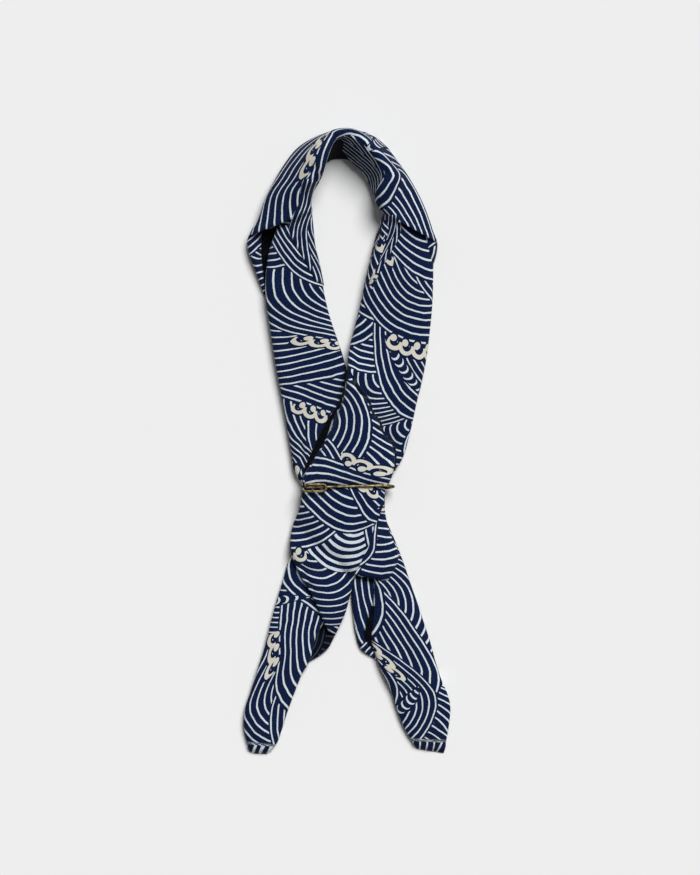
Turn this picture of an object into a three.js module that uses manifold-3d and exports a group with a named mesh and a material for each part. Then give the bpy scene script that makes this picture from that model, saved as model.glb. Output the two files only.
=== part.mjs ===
// A square cotton bandana, folded on its diagonal into a soft flat roll, laid in a neck loop with its
// two ends crossed and held by a bent-wire blanket pin. Millimetres, +Z up, the cloth lying on z = 0,
// the loop toward +Y and the two tails toward -Y.
import * as THREE from "three";
import { mergeVertices } from "three/addons/utils/BufferGeometryUtils.js";
import Module from "manifold-3d";

// ---- Driving dimensions -------------------------------------------------------------------------
const PLY = 1.0; // thickness of one modelled layer of cloth
const LEAST_GAP = 0.35; // air between two layers where they are pressed together
const EDGE_GAP = 0.7; // how far an inner fold stays inside the outer one at the edges
const CROWN = 0.28; // share by which the stack is lower at its edges than in its middle
const STEP = 18; // longest distance between two sections of the sweep
const CROSSING_CLEARANCE = 0.45; // the upper strand above the lower one
const DROOP = 1.0; // how far past the lower strand, in its half-widths, the upper one reaches the ground

const WIRE = 1.4; // diameter of the pin's wire
const WIRE_SIDES = 8;
const PIN_Y = -25.5; // line across the neck on which the pin lies
const NEEDLE_Z = 2.45; // height of the needle, between two layers of the lower strand
const ARM_Z = 14.15; // height of the front arm, on top of the upper strand
const PIN_LEFT = -25.6; // the catch turns down here
const PIN_RIGHT = 23.6; // the wire rises here to the coil
const COIL_RADIUS = 1.6;
const COIL_PITCH = 1.8;
const COIL_Z = 7.6;
const ARM_SLANT = 1.3; // how much nearer the tails the arm ends on the left
const NEEDLE_TIP = 1.0; // how far the needle reaches past the catch
const CATCH_LENGTH = 13.7; // of the hairpin that lies on the arm
const CATCH_WIDTH = 3.9; // between the hairpin's two wires
const BORE_CLEARANCE = 0.35; // between the wire and the cloth it pierces
const NEEDLE_ROOM = NEEDLE_Z + WIRE / 2 + 0.3 - 2 * PLY - LEAST_GAP + PLY; // extra room in the stack

// One row for each section of the folded cloth, from the crest of the loop to the tip of a tail:
// the edge on the loop's outside, the edge on its inside, the height of the stack of layers, and how
// far the inside edge stands above the outside one where the band leans in the turn.
const COLUMNS = ["outX", "outY", "inX", "inY", "high", "stand"];
const CREST = [-1, 179, -3.5, 169, 7, 27];
const UPPER_STRAND = [
  [15.5, 173, 3.5, 164.5, 8, 25], // turning down into the right side
  [28.5, 162, 10, 154, 9, 20],
  [37, 149, 13.5, 147.5, 10, 14], // right shoulder
  [43.5, 136, 18.5, 138, 11, 9],
  [48, 125.5, 21.5, 129.5, 11, 6], // hem of the outer wrap, over the flared layer
  [51.5, 114, 17.5, 116, 11, 4],
  [49.5, 103.5, 13.5, 102.5, 11, 2], // end of the flared layer
  [48.5, 84, 9.5, 83, 11, 0],
  [47, 62, 5, 61.5, 10.5, 0], // widest part of the right side
  [44.5, 43, -0.5, 42, 9.5, 0],
  [40, 25, -5, 21.5, 8, 0],
  [35.5, 5, -13.5, -0.5, 6.5, 0], // over the left side's strand
  [30, -12, -22, -14.5, 6, 0],
  [21.8, -25.5, -23.7, -25.5, 5.1, 0], // under the pin
  [21.3, -37, -26.5, -36.5, 5.2, 0],
  [24, -51, -31, -50, 5.6, 0], // the panel below the pin spreads
  [28.8, -64.5, -32, -63, 5.8, 0],
  [24, -79.5, -35.5, -74, 5.8, 0], // corner of the panel's hem
  [5.5, -79, -37.5, -81, 6, 0],
  [0, -92.5, -41, -92, 6.4, 0],
  [-4, -104, -44, -104, 6.8, 0],
  [-10, -117, -47.5, -117.5, 7, 0], // end of the short inner layer
  [-23.5, -128, -51, -129, 6.8, 0],
  [-29, -140.5, -55, -141, 6.4, 0],
  [-34.5, -154, -58.5, -153.5, 6, 0],
  [-38, -167.5, -58.7, -166, 5.4, 0],
  [-43, -176, -56.5, -174.5, 5, 0],
  [-45.5, -178.8, -55, -178.2, 4.9, 0], // tip of the left tail
].map((row) => named(row));
const LOWER_STRAND = [
  [-16.5, 175.5, -8.5, 160.5, 8, 25], // turning down into the left side
  [-31.5, 164.5, -15, 149.5, 9, 19],
  [-42.5, 147.5, -20.5, 142, 10, 13], // left shoulder
  [-50.5, 131, -21, 130.5, 11, 8],
  [-56.5, 117.5, -20.5, 118, 11, 5], // flared layer under the hem of the outer wrap
  [-54, 102.5, -16.5, 103.5, 11, 2],
  [-47.5, 86, -12.5, 85, 11, 0],
  [-43.5, 64.5, -7.5, 64.5, 10.5, 0],
  [-41, 42.5, -1, 44.5, 9, 0],
  [-36, 18.5, 3, 23.5, 7.5, 0],
  [-30.5, -6, 8, 0, 6, 0],
  [-23.7, -25.5, 14, -25.5, 5.1, 0], // under the pin
  [-16.5, -45, 20, -41, 5.1, 0],
  [-5, -68, 29, -65.5, 5.1, 0], // under the panel
  [2.5, -84, 36.5, -83, 5.8, 0],
  [4, -99.5, 41.5, -98, 6.6, 0],
  [7, -115, 46.5, -112, 7, 0], // end of the short inner layer
  [18, -126, 51, -127, 6.8, 0],
  [23.5, -140.5, 56, -139.5, 6.4, 0],
  [29, -155, 59, -152, 6, 0],
  [37, -170, 58, -164.5, 5.4, 0],
  [44, -177.3, 56.7, -174, 5, 0],
  [46.5, -179, 56, -178.4, 4.9, 0], // tip of the right tail
].map((row) => named(row));

function named(row) {
  return Object.fromEntries(COLUMNS.map((name, i) => [name, row[i]]));
}

// ---- Interpolation along a strand ---------------------------------------------------------------
function catmullRom(a, b, c, d, t) {
  const t2 = t * t;
  const t3 = t2 * t;
  return 0.5 * (2 * b + (c - a) * t + (2 * a - 5 * b + 4 * c - d) * t2 + (3 * b - a - 3 * c + d) * t3);
}

function midOf(row) {
  return new THREE.Vector2((row.outX + row.inX) / 2, (row.outY + row.inY) / 2);
}

// The rows with others worked out between them, so that no two middles lie more than STEP apart.
function refined(rows) {
  const made = [];
  for (let i = 0; i + 1 < rows.length; i++) {
    const after = rows[Math.min(i + 2, rows.length - 1)];
    const around = [rows[Math.max(i - 1, 0)], rows[i], rows[i + 1], after];
    const parts = Math.ceil(midOf(rows[i]).distanceTo(midOf(rows[i + 1])) / STEP);
    for (let k = 0; k < parts; k++) {
      const row = Object.fromEntries(
        COLUMNS.map((name) => [name, catmullRom(...around.map((each) => each[name]), k / parts)]),
      );
      made.push({ ...row, stand: Math.max(row.stand, 0) });
    }
  }
  return [...made, rows.at(-1)];
}

function smoothFall(x, from, to) {
  return 1 - THREE.MathUtils.smoothstep(x, from, to);
}

// ---- The section: one back-and-forth line of four layers, closed at both edges ------------------
// Its line runs along the ground from the outside edge, up round the inside edge, back over the top,
// down round the outside edge and once more to and fro inside. Every layer has its points at the same
// places across the width, so that the layers stay clear of each other where the ground lifts them.
const PLACES = [-1, -0.5, 0, 0.5, 1];

function foldedLine(wide, high, room) {
  const pitch = (high - PLY) / 3;
  const level = [0, 1, 2, 3].map((k) => PLY / 2 + k * pitch + (k ? room : 0));
  const edge = wide / 2 - PLY / 2;
  const inner = edge - PLY - EDGE_GAP;
  const innerTurn = (level[2] - level[1]) / 2;
  const outerTurn = (level[3] - level[0]) / 2;
  const reach = Math.min(inner - innerTurn, edge - outerTurn) - 0.2 * PLY;
  const line = [];
  const along = (way, n) => {
    for (const place of PLACES) line.push([way * place * reach, n]);
  };
  const turn = (side, at, from, to, count) => {
    const radius = Math.abs(to - from) / 2;
    for (let i = 0; i <= count; i++) {
      const angle = Math.sign(to - from) * (i / count - 0.5) * Math.PI;
      const out = at - radius + radius * Math.cos(angle);
      line.push([side * out, (from + to) / 2 + radius * Math.sin(angle)]);
    }
  };
  line.push([PLY - edge, level[0]]);
  along(1, level[0]);
  turn(1, edge, level[0], level[3], 4);
  along(-1, level[3]);
  turn(-1, edge, level[3], level[1], 3);
  along(1, level[1]);
  turn(1, inner, level[1], level[2], 2);
  along(-1, level[2]);
  const crown = Math.max(Math.min(CROWN, 1 - (PLY + LEAST_GAP) / pitch), 0);
  return line.map(([t, n]) => {
    const share = 1 - crown * Math.pow(Math.abs(t) / (wide / 2), 2.5);
    return new THREE.Vector2(t, level[0] + (n - level[0]) * share);
  });
}

// The line given its thickness: its left side there and its right side back, as one closed outline.
function thickened(line) {
  const sides = [[], []];
  line.forEach((point, i) => {
    const before = line[Math.max(i - 1, 0)];
    const after = line[Math.min(i + 1, line.length - 1)];
    const a = point.clone().sub(before).normalize();
    const b = after.clone().sub(point).normalize();
    const way = a.add(b).normalize();
    const normal = new THREE.Vector2(-way.y, way.x).multiplyScalar(PLY / 2);
    sides[0].push(point.clone().add(normal));
    sides[1].push(point.clone().sub(normal));
  });
  return [...sides[0], ...sides[1].reverse()];
}

// The angle at which a section leans so that its plan stays between its two edges.
function leanOf(row, across) {
  let lean = 0;
  for (let i = 0; i < 12; i++) {
    const plan = Math.max(across - row.high * Math.sin(lean), 1);
    lean = Math.atan2(row.stand, plan);
  }
  return lean;
}

// ---- The ground that the upper strand lies on ---------------------------------------------------
const lowerRows = refined([named(CREST), ...LOWER_STRAND]);
const CROSSING_FROM = 62; // the strands lie on each other below this y
const CROSSING_TO = -100;

function roomAt(y) {
  return NEEDLE_ROOM * smoothFall(Math.abs(y - PIN_Y), 13, 34);
}

function liftAt(x, y) {
  let lift = 0;
  const here = new THREE.Vector2(x, y);
  for (let i = 0; i + 1 < lowerRows.length; i++) {
    const [a, b] = [lowerRows[i], lowerRows[i + 1]];
    const [from, to] = [midOf(a), midOf(b)];
    const way = to.clone().sub(from);
    const t = THREE.MathUtils.clamp(here.clone().sub(from).dot(way) / way.lengthSq(), 0, 1);
    const foot = from.clone().addScaledVector(way, t);
    if (foot.y > CROSSING_FROM || foot.y < CROSSING_TO) continue;
    const half = THREE.MathUtils.lerp(widthOf(a), widthOf(b), t) / 2;
    const high = THREE.MathUtils.lerp(a.high, b.high, t) + roomAt(foot.y) + CROSSING_CLEARANCE;
    const ends = smoothFall(foot.y, 40, CROSSING_FROM) * (1 - smoothFall(foot.y, CROSSING_TO, -84));
    lift = Math.max(lift, high * ends * smoothFall(here.distanceTo(foot) / half, 1, 1 + DROOP));
  }
  return lift;
}

function widthOf(row) {
  return Math.hypot(row.inX - row.outX, row.inY - row.outY);
}

// ---- The cloth ----------------------------------------------------------------------------------
function ringOf(row, isUpper) {
  const across = widthOf(row);
  const lean = leanOf(row, across);
  const plan = Math.max(across - row.high * Math.sin(lean), 1);
  const wide = plan / Math.cos(lean);
  const section = thickened(foldedLine(wide, row.high, isUpper ? 0 : roomAt(midOf(row).y)));
  const turned = section.map((p) => {
    const n = p.y;
    return new THREE.Vector2(
      p.x * Math.cos(lean) - n * Math.sin(lean),
      p.x * Math.sin(lean) + n * Math.cos(lean),
    );
  });
  const low = Math.min(...turned.map((p) => p.y));
  const start = Math.min(...turned.map((p) => p.x));
  const inward = new THREE.Vector2(row.inX - row.outX, row.inY - row.outY).normalize();
  return turned.map((p) => {
    const x = row.outX + inward.x * (p.x - start);
    const y = row.outY + inward.y * (p.x - start);
    return new THREE.Vector3(x, y, p.y - low + (isUpper ? liftAt(x, y) : 0));
  });
}

// A closed body through rings of equal length, with flat ends.
function skinned(rings) {
  const count = rings[0].length;
  const position = rings.flatMap((ring) => ring.flatMap((p) => [p.x, p.y, p.z]));
  const index = [];
  for (let r = 0; r + 1 < rings.length; r++) {
    for (let i = 0; i < count; i++) {
      const [a, b] = [r * count + i, r * count + ((i + 1) % count)];
      index.push(a, b, b + count, a, b + count, a + count);
    }
  }
  for (const [r, isLast] of [[0, false], [rings.length - 1, true]]) {
    const [first, second] = [rings[r][0], rings[r].reduce((far, p) => (
      p.distanceTo(rings[r][0]) > far.distanceTo(rings[r][0]) ? p : far), rings[r][0])];
    const u = second.clone().sub(first).normalize();
    const normal = ringNormal(rings[r]);
    const v = normal.clone().cross(u);
    const flat = rings[r].map((p) => new THREE.Vector2(p.dot(u), p.dot(v)));
    for (const [a, b, c] of THREE.ShapeUtils.triangulateShape(flat, [])) {
      const corners = isLast ? [a, b, c] : [c, b, a];
      index.push(...corners.map((k) => r * count + k));
    }
  }
  const made = new THREE.BufferGeometry();
  made.setAttribute("position", new THREE.Float32BufferAttribute(position, 3));
  made.setIndex(volumeOf(position, index) < 0 ? index.reverse() : index);
  return made;
}

// The signed volume of a closed triangle mesh, negative where its faces point inwards.
function volumeOf(position, index) {
  const corners = index.map((i) => new THREE.Vector3().fromArray(position, 3 * i));
  let volume = 0;
  for (let i = 0; i < corners.length; i += 3) {
    volume += corners[i].dot(corners[i + 1].clone().cross(corners[i + 2])) / 6;
  }
  return volume;
}

function ringNormal(ring) {
  const normal = new THREE.Vector3();
  ring.forEach((p, i) => {
    const q = ring[(i + 1) % ring.length];
    normal.x += (p.y - q.y) * (p.z + q.z);
    normal.y += (p.z - q.z) * (p.x + q.x);
    normal.z += (p.x - q.x) * (p.y + q.y);
  });
  return normal.normalize();
}

function clothGeometry() {
  const upper = refined([named(CREST), ...UPPER_STRAND]).slice(1).reverse();
  const rings = [
    ...upper.map((row) => ringOf(row, true)),
    ...lowerRows.map((row) => ringOf(row, false)),
  ];
  return skinned(rings);
}

// ---- The pin: one bent wire ---------------------------------------------------------------------
// A corner of the wire's route and the radius to which it is bent there.
function corner(x, y, z, bend = 0) {
  return { at: new THREE.Vector3(x, y, z), bend };
}

// The route with each corner rounded into an arc of a few straight steps.
function rounded(corners, steps = 4) {
  return corners.flatMap(({ at, bend }, i) => {
    if (!bend) return [at];
    const back = corners[i - 1].at.clone().sub(at).normalize();
    const on = corners[i + 1].at.clone().sub(at).normalize();
    const half = back.angleTo(on) / 2;
    const inward = back.clone().add(on).normalize();
    const centre = at.clone().addScaledVector(inward, bend / Math.sin(half));
    const from = at.clone().addScaledVector(back, bend / Math.tan(half)).sub(centre);
    const to = at.clone().addScaledVector(on, bend / Math.tan(half)).sub(centre);
    const sweep = from.angleTo(to);
    return Array.from({ length: steps + 1 }, (_, k) => {
      const a = Math.sin(((1 - k / steps) * sweep)) / Math.sin(sweep);
      const b = Math.sin((k / steps) * sweep) / Math.sin(sweep);
      return centre.clone().addScaledVector(from, a).addScaledVector(to, b);
    });
  });
}

function coilTurn(steps = 14) {
  return Array.from({ length: steps + 1 }, (_, k) => {
    const angle = Math.PI - (2 * Math.PI * k) / steps;
    return new THREE.Vector3(
      PIN_RIGHT + COIL_RADIUS + COIL_RADIUS * Math.cos(angle),
      PIN_Y - COIL_PITCH / 2 + (COIL_PITCH * k) / steps,
      COIL_Z + COIL_RADIUS * Math.sin(angle),
    );
  });
}

function tube(route, diameter, sides) {
  let side = new THREE.Vector3(0, 1, 0);
  const rings = route.map((at, i) => {
    const next = route[Math.min(i + 1, route.length - 1)];
    const way = next.clone().sub(route[Math.max(i - 1, 0)]).normalize();
    side = side.addScaledVector(way, -side.dot(way)).normalize();
    const other = way.clone().cross(side);
    return Array.from({ length: sides }, (_, k) => {
      const angle = (2 * Math.PI * k) / sides;
      return at
        .clone()
        .addScaledVector(side, (diameter / 2) * Math.cos(angle))
        .addScaledVector(other, (diameter / 2) * Math.sin(angle));
    });
  });
  return skinned(rings);
}

function pinGeometry() {
  const needleY = PIN_Y - COIL_PITCH / 2;
  const armY = PIN_Y + COIL_PITCH / 2;
  const catchZ = ARM_Z + WIRE + 0.35;
  const hookZ = NEEDLE_Z - WIRE - 0.3;
  const backY = armY + 0.5;
  const frontY = backY - CATCH_WIDTH;
  const needle = rounded([
    corner(PIN_LEFT - NEEDLE_TIP, needleY, NEEDLE_Z),
    corner(PIN_RIGHT, needleY, NEEDLE_Z, 1.6),
    corner(PIN_RIGHT, needleY, COIL_Z - 1),
  ]);
  const arm = rounded([
    corner(PIN_RIGHT, armY, COIL_Z + 1),
    corner(PIN_RIGHT, armY, ARM_Z, 1.6),
    corner(PIN_LEFT + 2.2, armY - ARM_SLANT, ARM_Z, 0.85),
    corner(PIN_LEFT + 2.2, backY, catchZ, 0.85),
    corner(PIN_LEFT + CATCH_LENGTH, backY, catchZ, CATCH_WIDTH / 2 - 0.01),
    corner(PIN_LEFT + CATCH_LENGTH, frontY, catchZ, CATCH_WIDTH / 2 - 0.01),
    corner(PIN_LEFT, frontY, catchZ, 1.5),
    corner(PIN_LEFT, frontY - 0.45, hookZ, 0.9),
    corner(PIN_LEFT, needleY + 1.9, hookZ, 0.9),
    corner(PIN_LEFT, needleY + 1.9, NEEDLE_Z + 1.2),
  ]);
  return tube([...needle, ...coilTurn(), ...arm], WIRE, WIRE_SIDES);
}

// ---- Booleans: the needle's way through the folded cloth ----------------------------------------
const wasm = await Module();
wasm.setup();

function solidOf(geometry) {
  const bare = geometry.clone();
  bare.deleteAttribute("normal");
  bare.deleteAttribute("uv");
  const merged = mergeVertices(bare, 1e-4);
  return new wasm.Manifold(
    new wasm.Mesh({
      numProp: 3,
      vertProperties: merged.attributes.position.array,
      triVerts: new Uint32Array(merged.index.array),
    }),
  );
}

function geometryOf(solid) {
  const mesh = solid.getMesh();
  const made = new THREE.BufferGeometry();
  made.setAttribute("position", new THREE.BufferAttribute(mesh.vertProperties, 3));
  made.setIndex(new THREE.BufferAttribute(mesh.triVerts, 1));
  made.computeVertexNormals();
  return made;
}

function needleBore() {
  const y = PIN_Y - COIL_PITCH / 2;
  const route = [-6, 6].map((offset) => new THREE.Vector3(14 + offset, y, NEEDLE_Z));
  return tube(route, WIRE + 2 * BORE_CLEARANCE, WIRE_SIDES);
}

// ---- The object ---------------------------------------------------------------------------------
const cotton = new THREE.MeshStandardMaterial({ color: "#15234f", roughness: 0.92, metalness: 0 });
const brass = new THREE.MeshStandardMaterial({ color: "#8a7b4c", roughness: 0.4, metalness: 1 });

const bandana = new THREE.Mesh(
  geometryOf(solidOf(clothGeometry()).subtract(solidOf(needleBore()))),
  cotton,
);
bandana.name = "bandana";

const pin = new THREE.Mesh(pinGeometry(), brass);
pin.name = "pin";

const root = new THREE.Group();
root.add(bandana, pin);

export default root;
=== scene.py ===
"""The looks of a folded cotton bandana, laid in a neck loop with its ends crossed under a bent-wire pin.

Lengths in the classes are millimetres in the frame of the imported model: the loop lies toward +Y, the two
tails toward -Y, and the cloth rests on z = 0. They become metres where a mesh is made.
"""

import logging
import math
from dataclasses import dataclass, field
from enum import Enum
from typing import Any, Callable, Sequence

import bpy
import numpy as np
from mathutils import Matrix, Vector, noise
from mathutils.bvhtree import BVHTree


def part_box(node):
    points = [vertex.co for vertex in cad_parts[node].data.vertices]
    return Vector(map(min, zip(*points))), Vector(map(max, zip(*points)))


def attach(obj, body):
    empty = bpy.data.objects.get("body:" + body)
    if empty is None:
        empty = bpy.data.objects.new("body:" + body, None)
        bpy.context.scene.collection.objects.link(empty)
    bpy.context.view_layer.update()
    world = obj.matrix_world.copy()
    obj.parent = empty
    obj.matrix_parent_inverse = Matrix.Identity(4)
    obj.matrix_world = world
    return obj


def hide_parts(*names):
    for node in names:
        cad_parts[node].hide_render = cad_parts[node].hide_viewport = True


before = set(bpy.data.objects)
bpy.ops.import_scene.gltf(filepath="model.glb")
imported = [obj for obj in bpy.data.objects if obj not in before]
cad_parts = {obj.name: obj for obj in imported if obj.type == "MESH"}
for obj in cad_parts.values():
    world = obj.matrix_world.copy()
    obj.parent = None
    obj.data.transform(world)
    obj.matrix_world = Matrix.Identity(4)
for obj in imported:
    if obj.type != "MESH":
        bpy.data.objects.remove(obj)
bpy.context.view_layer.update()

log = logging.getLogger("bandana")

MM = 0.001
Points = np.ndarray
Path = Sequence[tuple[float, ...]]

MATH = "ShaderNodeMath"
VECTOR = "ShaderNodeVectorMath"


# ---- Small tools --------------------------------------------------------------------------------


def linear(colour: str) -> tuple[float, float, float, float]:
    """Turns an sRGB hex colour to linear light.

    Args:
        colour: The colour as #rrggbb.

    Returns:
        Linear red, green and blue with an alpha of 1.
    """
    shares = [int(colour[k : k + 2], 16) / 255 for k in (1, 3, 5)]
    bright = [c / 12.92 if c <= 0.04045 else ((c + 0.055) / 1.055) ** 2.4 for c in shares]
    return (*bright, 1.0)


def add(
    tree: bpy.types.NodeTree, kind: str, *feeds: Any, named: dict | None = None, **settings: Any
) -> bpy.types.Node:
    """Adds a node with its settings, and links or sets its inputs.

    Args:
        tree: The tree that gets the node.
        kind: The node's type name.
        feeds: What the first inputs get, in order: a node, a socket, a plain value, or None to leave it.
        named: The same for inputs that are given by name.
        settings: The node's own properties.

    Returns:
        The new node.
    """
    node = tree.nodes.new(kind)
    for name, value in settings.items():
        setattr(node, name, value)
    for key, value in [*enumerate(feeds), *(named or {}).items()]:
        if value is None:
            continue
        if isinstance(value, bpy.types.Node):
            value = value.outputs[0]
        if isinstance(value, bpy.types.NodeSocket):
            tree.links.new(value, node.inputs[key])
        else:
            node.inputs[key].default_value = value
    return node


def smooth_fall(x: Points, start: float, end: float) -> Points:
    """1 before start, 0 after end, and a soft step between them."""
    t = np.clip((x - start) / (end - start), 0, 1)
    return 1 - t * t * (3 - 2 * t)


def chords(points: Points) -> Points:
    """The length run at each point of a line of points."""
    return np.concatenate([[0.0], np.cumsum(np.linalg.norm(np.diff(points, axis=0), axis=1))])


def curve_through(points: Points, knots: Points, at: Points) -> Points:
    """A smooth curve through points.

    Args:
        points: One row for each knot.
        knots: The rising parameter of each row.
        at: The parameters wanted.

    Returns:
        One row for each parameter wanted.
    """
    slopes = np.gradient(points, knots, axis=0)
    k = np.clip(np.searchsorted(knots, at, side="right") - 1, 0, len(knots) - 2)
    h = (knots[k + 1] - knots[k])[:, None]
    u = (at[:, None] - knots[k][:, None]) / h
    return (
        (2 * u**3 - 3 * u**2 + 1) * points[k]
        + (u**3 - 2 * u**2 + u) * h * slopes[k]
        + (3 * u**2 - 2 * u**3) * points[k + 1]
        + (u**3 - u**2) * h * slopes[k + 1]
    )


def drawn(path: Path, count: int) -> Points:
    """A smooth line of count points through the points of a path."""
    points = np.array(path, float)
    knots = chords(points)
    return curve_through(points, knots, np.linspace(0, knots[-1], count))


def run_across(grid: Points, start: int) -> Points:
    """The length run across each row of a grid, from one of its columns."""
    steps = np.linalg.norm(np.diff(grid, axis=1), axis=2)
    run = np.concatenate([np.zeros((len(grid), 1)), np.cumsum(steps, axis=1)], axis=1)
    return run - run[:, start : start + 1]


def grid_normals(grid: Points) -> Points:
    """Unit normals of a grid of points, with rows first and columns second."""
    normal = np.cross(np.gradient(grid, axis=1), np.gradient(grid, axis=0))
    return normal / np.maximum(np.linalg.norm(normal, axis=2, keepdims=True), 1e-9)


def upward_normals(grid: Points, seen: int | slice = slice(None)) -> Points:
    """Unit normals of a grid, on the side that faces up at the columns seen."""
    normals = grid_normals(grid)
    return normals * np.sign(normals[:, seen, 2].mean())


def grid_faces(rows: int, columns: int) -> Points:
    """The corners of each face of a grid, as indices into its points."""
    index = np.arange(rows * columns).reshape(rows, columns)
    corners = (index[:-1, :-1], index[:-1, 1:], index[1:, 1:], index[1:, :-1])
    return np.stack(corners, axis=-1).reshape(-1, 4)


def smooth_piece(name: str, mesh: bpy.types.Mesh) -> bpy.types.Object:
    """Puts a mesh in the scene as a smoothly shaded piece."""
    mesh.polygons.foreach_set("use_smooth", np.ones(len(mesh.polygons), bool))
    piece = bpy.data.objects.new(name, mesh)
    bpy.context.scene.collection.objects.link(piece)
    return piece


def empty_finish(name: str) -> tuple[bpy.types.Material, bpy.types.NodeTree]:
    """A material without nodes, and its tree."""
    made = bpy.data.materials.new(name)
    made.use_nodes = True
    made.node_tree.nodes.clear()
    return made, made.node_tree


def in_millimetres(tree: bpy.types.NodeTree, place: Any) -> bpy.types.Node:
    """A place in metres as millimetres."""
    return add(tree, VECTOR, place, named={"Scale": 1 / MM}, operation="SCALE")


# ---- Creases and soft undulation ----------------------------------------------------------------


CREASE_POINTS = 24  # along its line


@dataclass(frozen=True)
class Crease:
    """A trough, or a ridge where depth is below 0, pressed into the cloth along a line.

    Args:
        path: The line, in plan.
        depth: How far its bottom lies under the cloth.
        left: Half its width on the left, looking along the line.
        right: The same on the right.
        ends: How much of its length each end takes to fade, as a share.
    """

    path: Path
    depth: float
    left: float = 3.0
    right: float = 3.0
    ends: float = 0.3

    def depth_at(self, x: Points, y: Points) -> Points:
        """How far it lowers the cloth at each place in plan."""
        line = drawn(self.path, CREASE_POINTS)
        nearest = np.full(x.shape, np.inf)
        side = np.zeros(x.shape)
        share = np.zeros(x.shape)
        for k in range(len(line) - 1):
            a, way = line[k], line[k + 1] - line[k]
            t = np.clip(((x - a[0]) * way[0] + (y - a[1]) * way[1]) / (way @ way), 0, 1)
            dx, dy = x - a[0] - t * way[0], y - a[1] - t * way[1]
            far = np.hypot(dx, dy)
            closer = far < nearest
            nearest = np.where(closer, far, nearest)
            side = np.where(closer, way[0] * dy - way[1] * dx, side)
            share = np.where(closer, (k + t) / (len(line) - 1), share)
        half = np.where(side > 0, self.left, self.right)
        fade = np.clip(np.minimum(share, 1 - share) / self.ends, 0, 1)
        return self.depth * np.exp(-((nearest / half) ** 2)) * fade * (2 - fade)


@dataclass(frozen=True)
class Undulation:
    """The uneven softness of laid cloth, as smooth noise that is longer along the fold than across it.

    Args:
        height: Its size.
        across, along: How far apart its swells are.
        finer: How many times closer a second, smaller noise has them.
        finer_share: The height of the second noise.
        seed: Where in the noise it is taken.
    """

    height: float = 0.8
    across: float = 11.0
    along: float = 26.0
    finer: tuple[float, float] = (2.3, 2.1)
    finer_share: float = 0.45
    seed: float = 3.7

    def height_at(self, s: Points, w: Points) -> Points:
        """The rise at each place, from its length along the fold and its place across it."""
        spots = np.stack([s.ravel() / self.along, w.ravel() / self.across], axis=1)
        broad = [noise.noise(Vector((a, b, self.seed))) for a, b in spots]
        fine = [noise.noise(Vector((a, b, self.seed + 9))) for a, b in spots * self.finer]
        rise = np.array(broad) + self.finer_share * np.array(fine)
        return self.height * rise.reshape(s.shape)


# ---- Pieces of the cloth ------------------------------------------------------------------------


@dataclass
class Patch:
    """A grid of points that is one part of the cloth.

    Args:
        grid: The points, in rows and columns.
        s: Each point's place along the cloth.
        w: Each point's place across the cloth.
        reverse: 1 where the cloth shows its unprinted side, darkened by painted shade.
        shown: Which columns face the eye and get most of the baked map.
    """

    grid: Points
    s: Points
    w: Points
    reverse: Points
    shown: Points


PRINT_UNIT = 0.87  # mm of cloth to one unit of the pattern's chart


@dataclass(frozen=True)
class Print:
    """Where a part of the cloth lies on the printed pattern.

    Args:
        along, across: Its shift in mm.
        turn: The direction of its length in degrees.
        pulled: How many times its own size the cloth is stretched there.
    """

    along: float = 0.0
    across: float = 0.0
    turn: float = 45.0
    pulled: float = 1.0

    def place(self, s: Points, w: Points) -> tuple[Points, Points]:
        """The pattern's own coordinates for a place on the part."""
        c, n = math.cos(math.radians(self.turn)), math.sin(math.radians(self.turn))
        a, b = (s / self.pulled + self.along) / PRINT_UNIT, (w / self.pulled + self.across) / PRINT_UNIT
        return a * c - b * n, a * n + b * c


@dataclass
class Hem:
    """A line of stitches that follows a hem, as points on the cloth."""

    points: Points
    normals: Points


ROW_STEP = 1.8  # between two sections of a fold
COLUMN_STEP = 1.35  # between two points across its top
BELOW_SHARE = 0.28  # how much sparser the points are underneath
TYPICAL_HALVES = (23, 4)  # half the width and height of a middling section
SECTION_ENDS = (-100, 290)  # degrees: it starts beneath, goes over the top, and ends past its start
SECTION_STEPS = 4000  # that its length is measured in
UNDER_SINE = -0.55  # of the angles below which points are sparser
SEAM = (235, 25)  # degrees: where the wrap's end starts to climb over its start, and for how long
SEAM_LIFT = 0.9
LEAN_PASSES = 14  # that settle how far the sections lean
REACH_PASSES = 3  # that settle how wide they are
REACH_ANGLE = 5.0  # degrees between the points that are measured
EDGE_SHAPE = 2.9  # how square the section is: 2 is an ellipse
LID_EDGE = 1.8  # how soon past the edge the top's creases are at full depth
LEAST_HEIGHT = 0.25  # of any point of a fold
HEM_WIDTH = 4.2
HEM_EDGE = (1.0, 0.6)  # how far the hem's step reaches inside and outside its width
HEM_RISE = 0.45  # where the cloth is doubled
HEM_ROW = 2  # sections from the end to the stitches
HEM_ANGLES = (8, 172)  # degrees between which the stitches run
SHOWN_ANGLES = (-25, 205)  # degrees between which the eye sees the section
TIP_TURN = 7.0  # how much of a tail's tip is turned over
TIP_SHIFT = 31.0  # how far along the print the turned corner comes from
TIP_SLOWER = 0.6  # how slowly its print runs back, on the bias
TIP_FLAT = ((-1, 0.2), (-2, 0.75))  # the last sections and how high they stay
PLIES = 8  # flat layers inside each fold
PLY_STEP = 8.0  # between two of its sections
PLY_INSET = 4  # sections from each end to the first ply's
PLY_POINTS = 9  # across it
PLY_SHARE = 0.8  # of the fold's width
PLY_LEVELS = (0.14, 0.56)  # of its height


def squared(waves: Points) -> Points:
    """The sine or cosine of a section's outline, with the corners pushed out."""
    return np.sign(waves) * np.abs(waves) ** (2 / EDGE_SHAPE)


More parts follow.
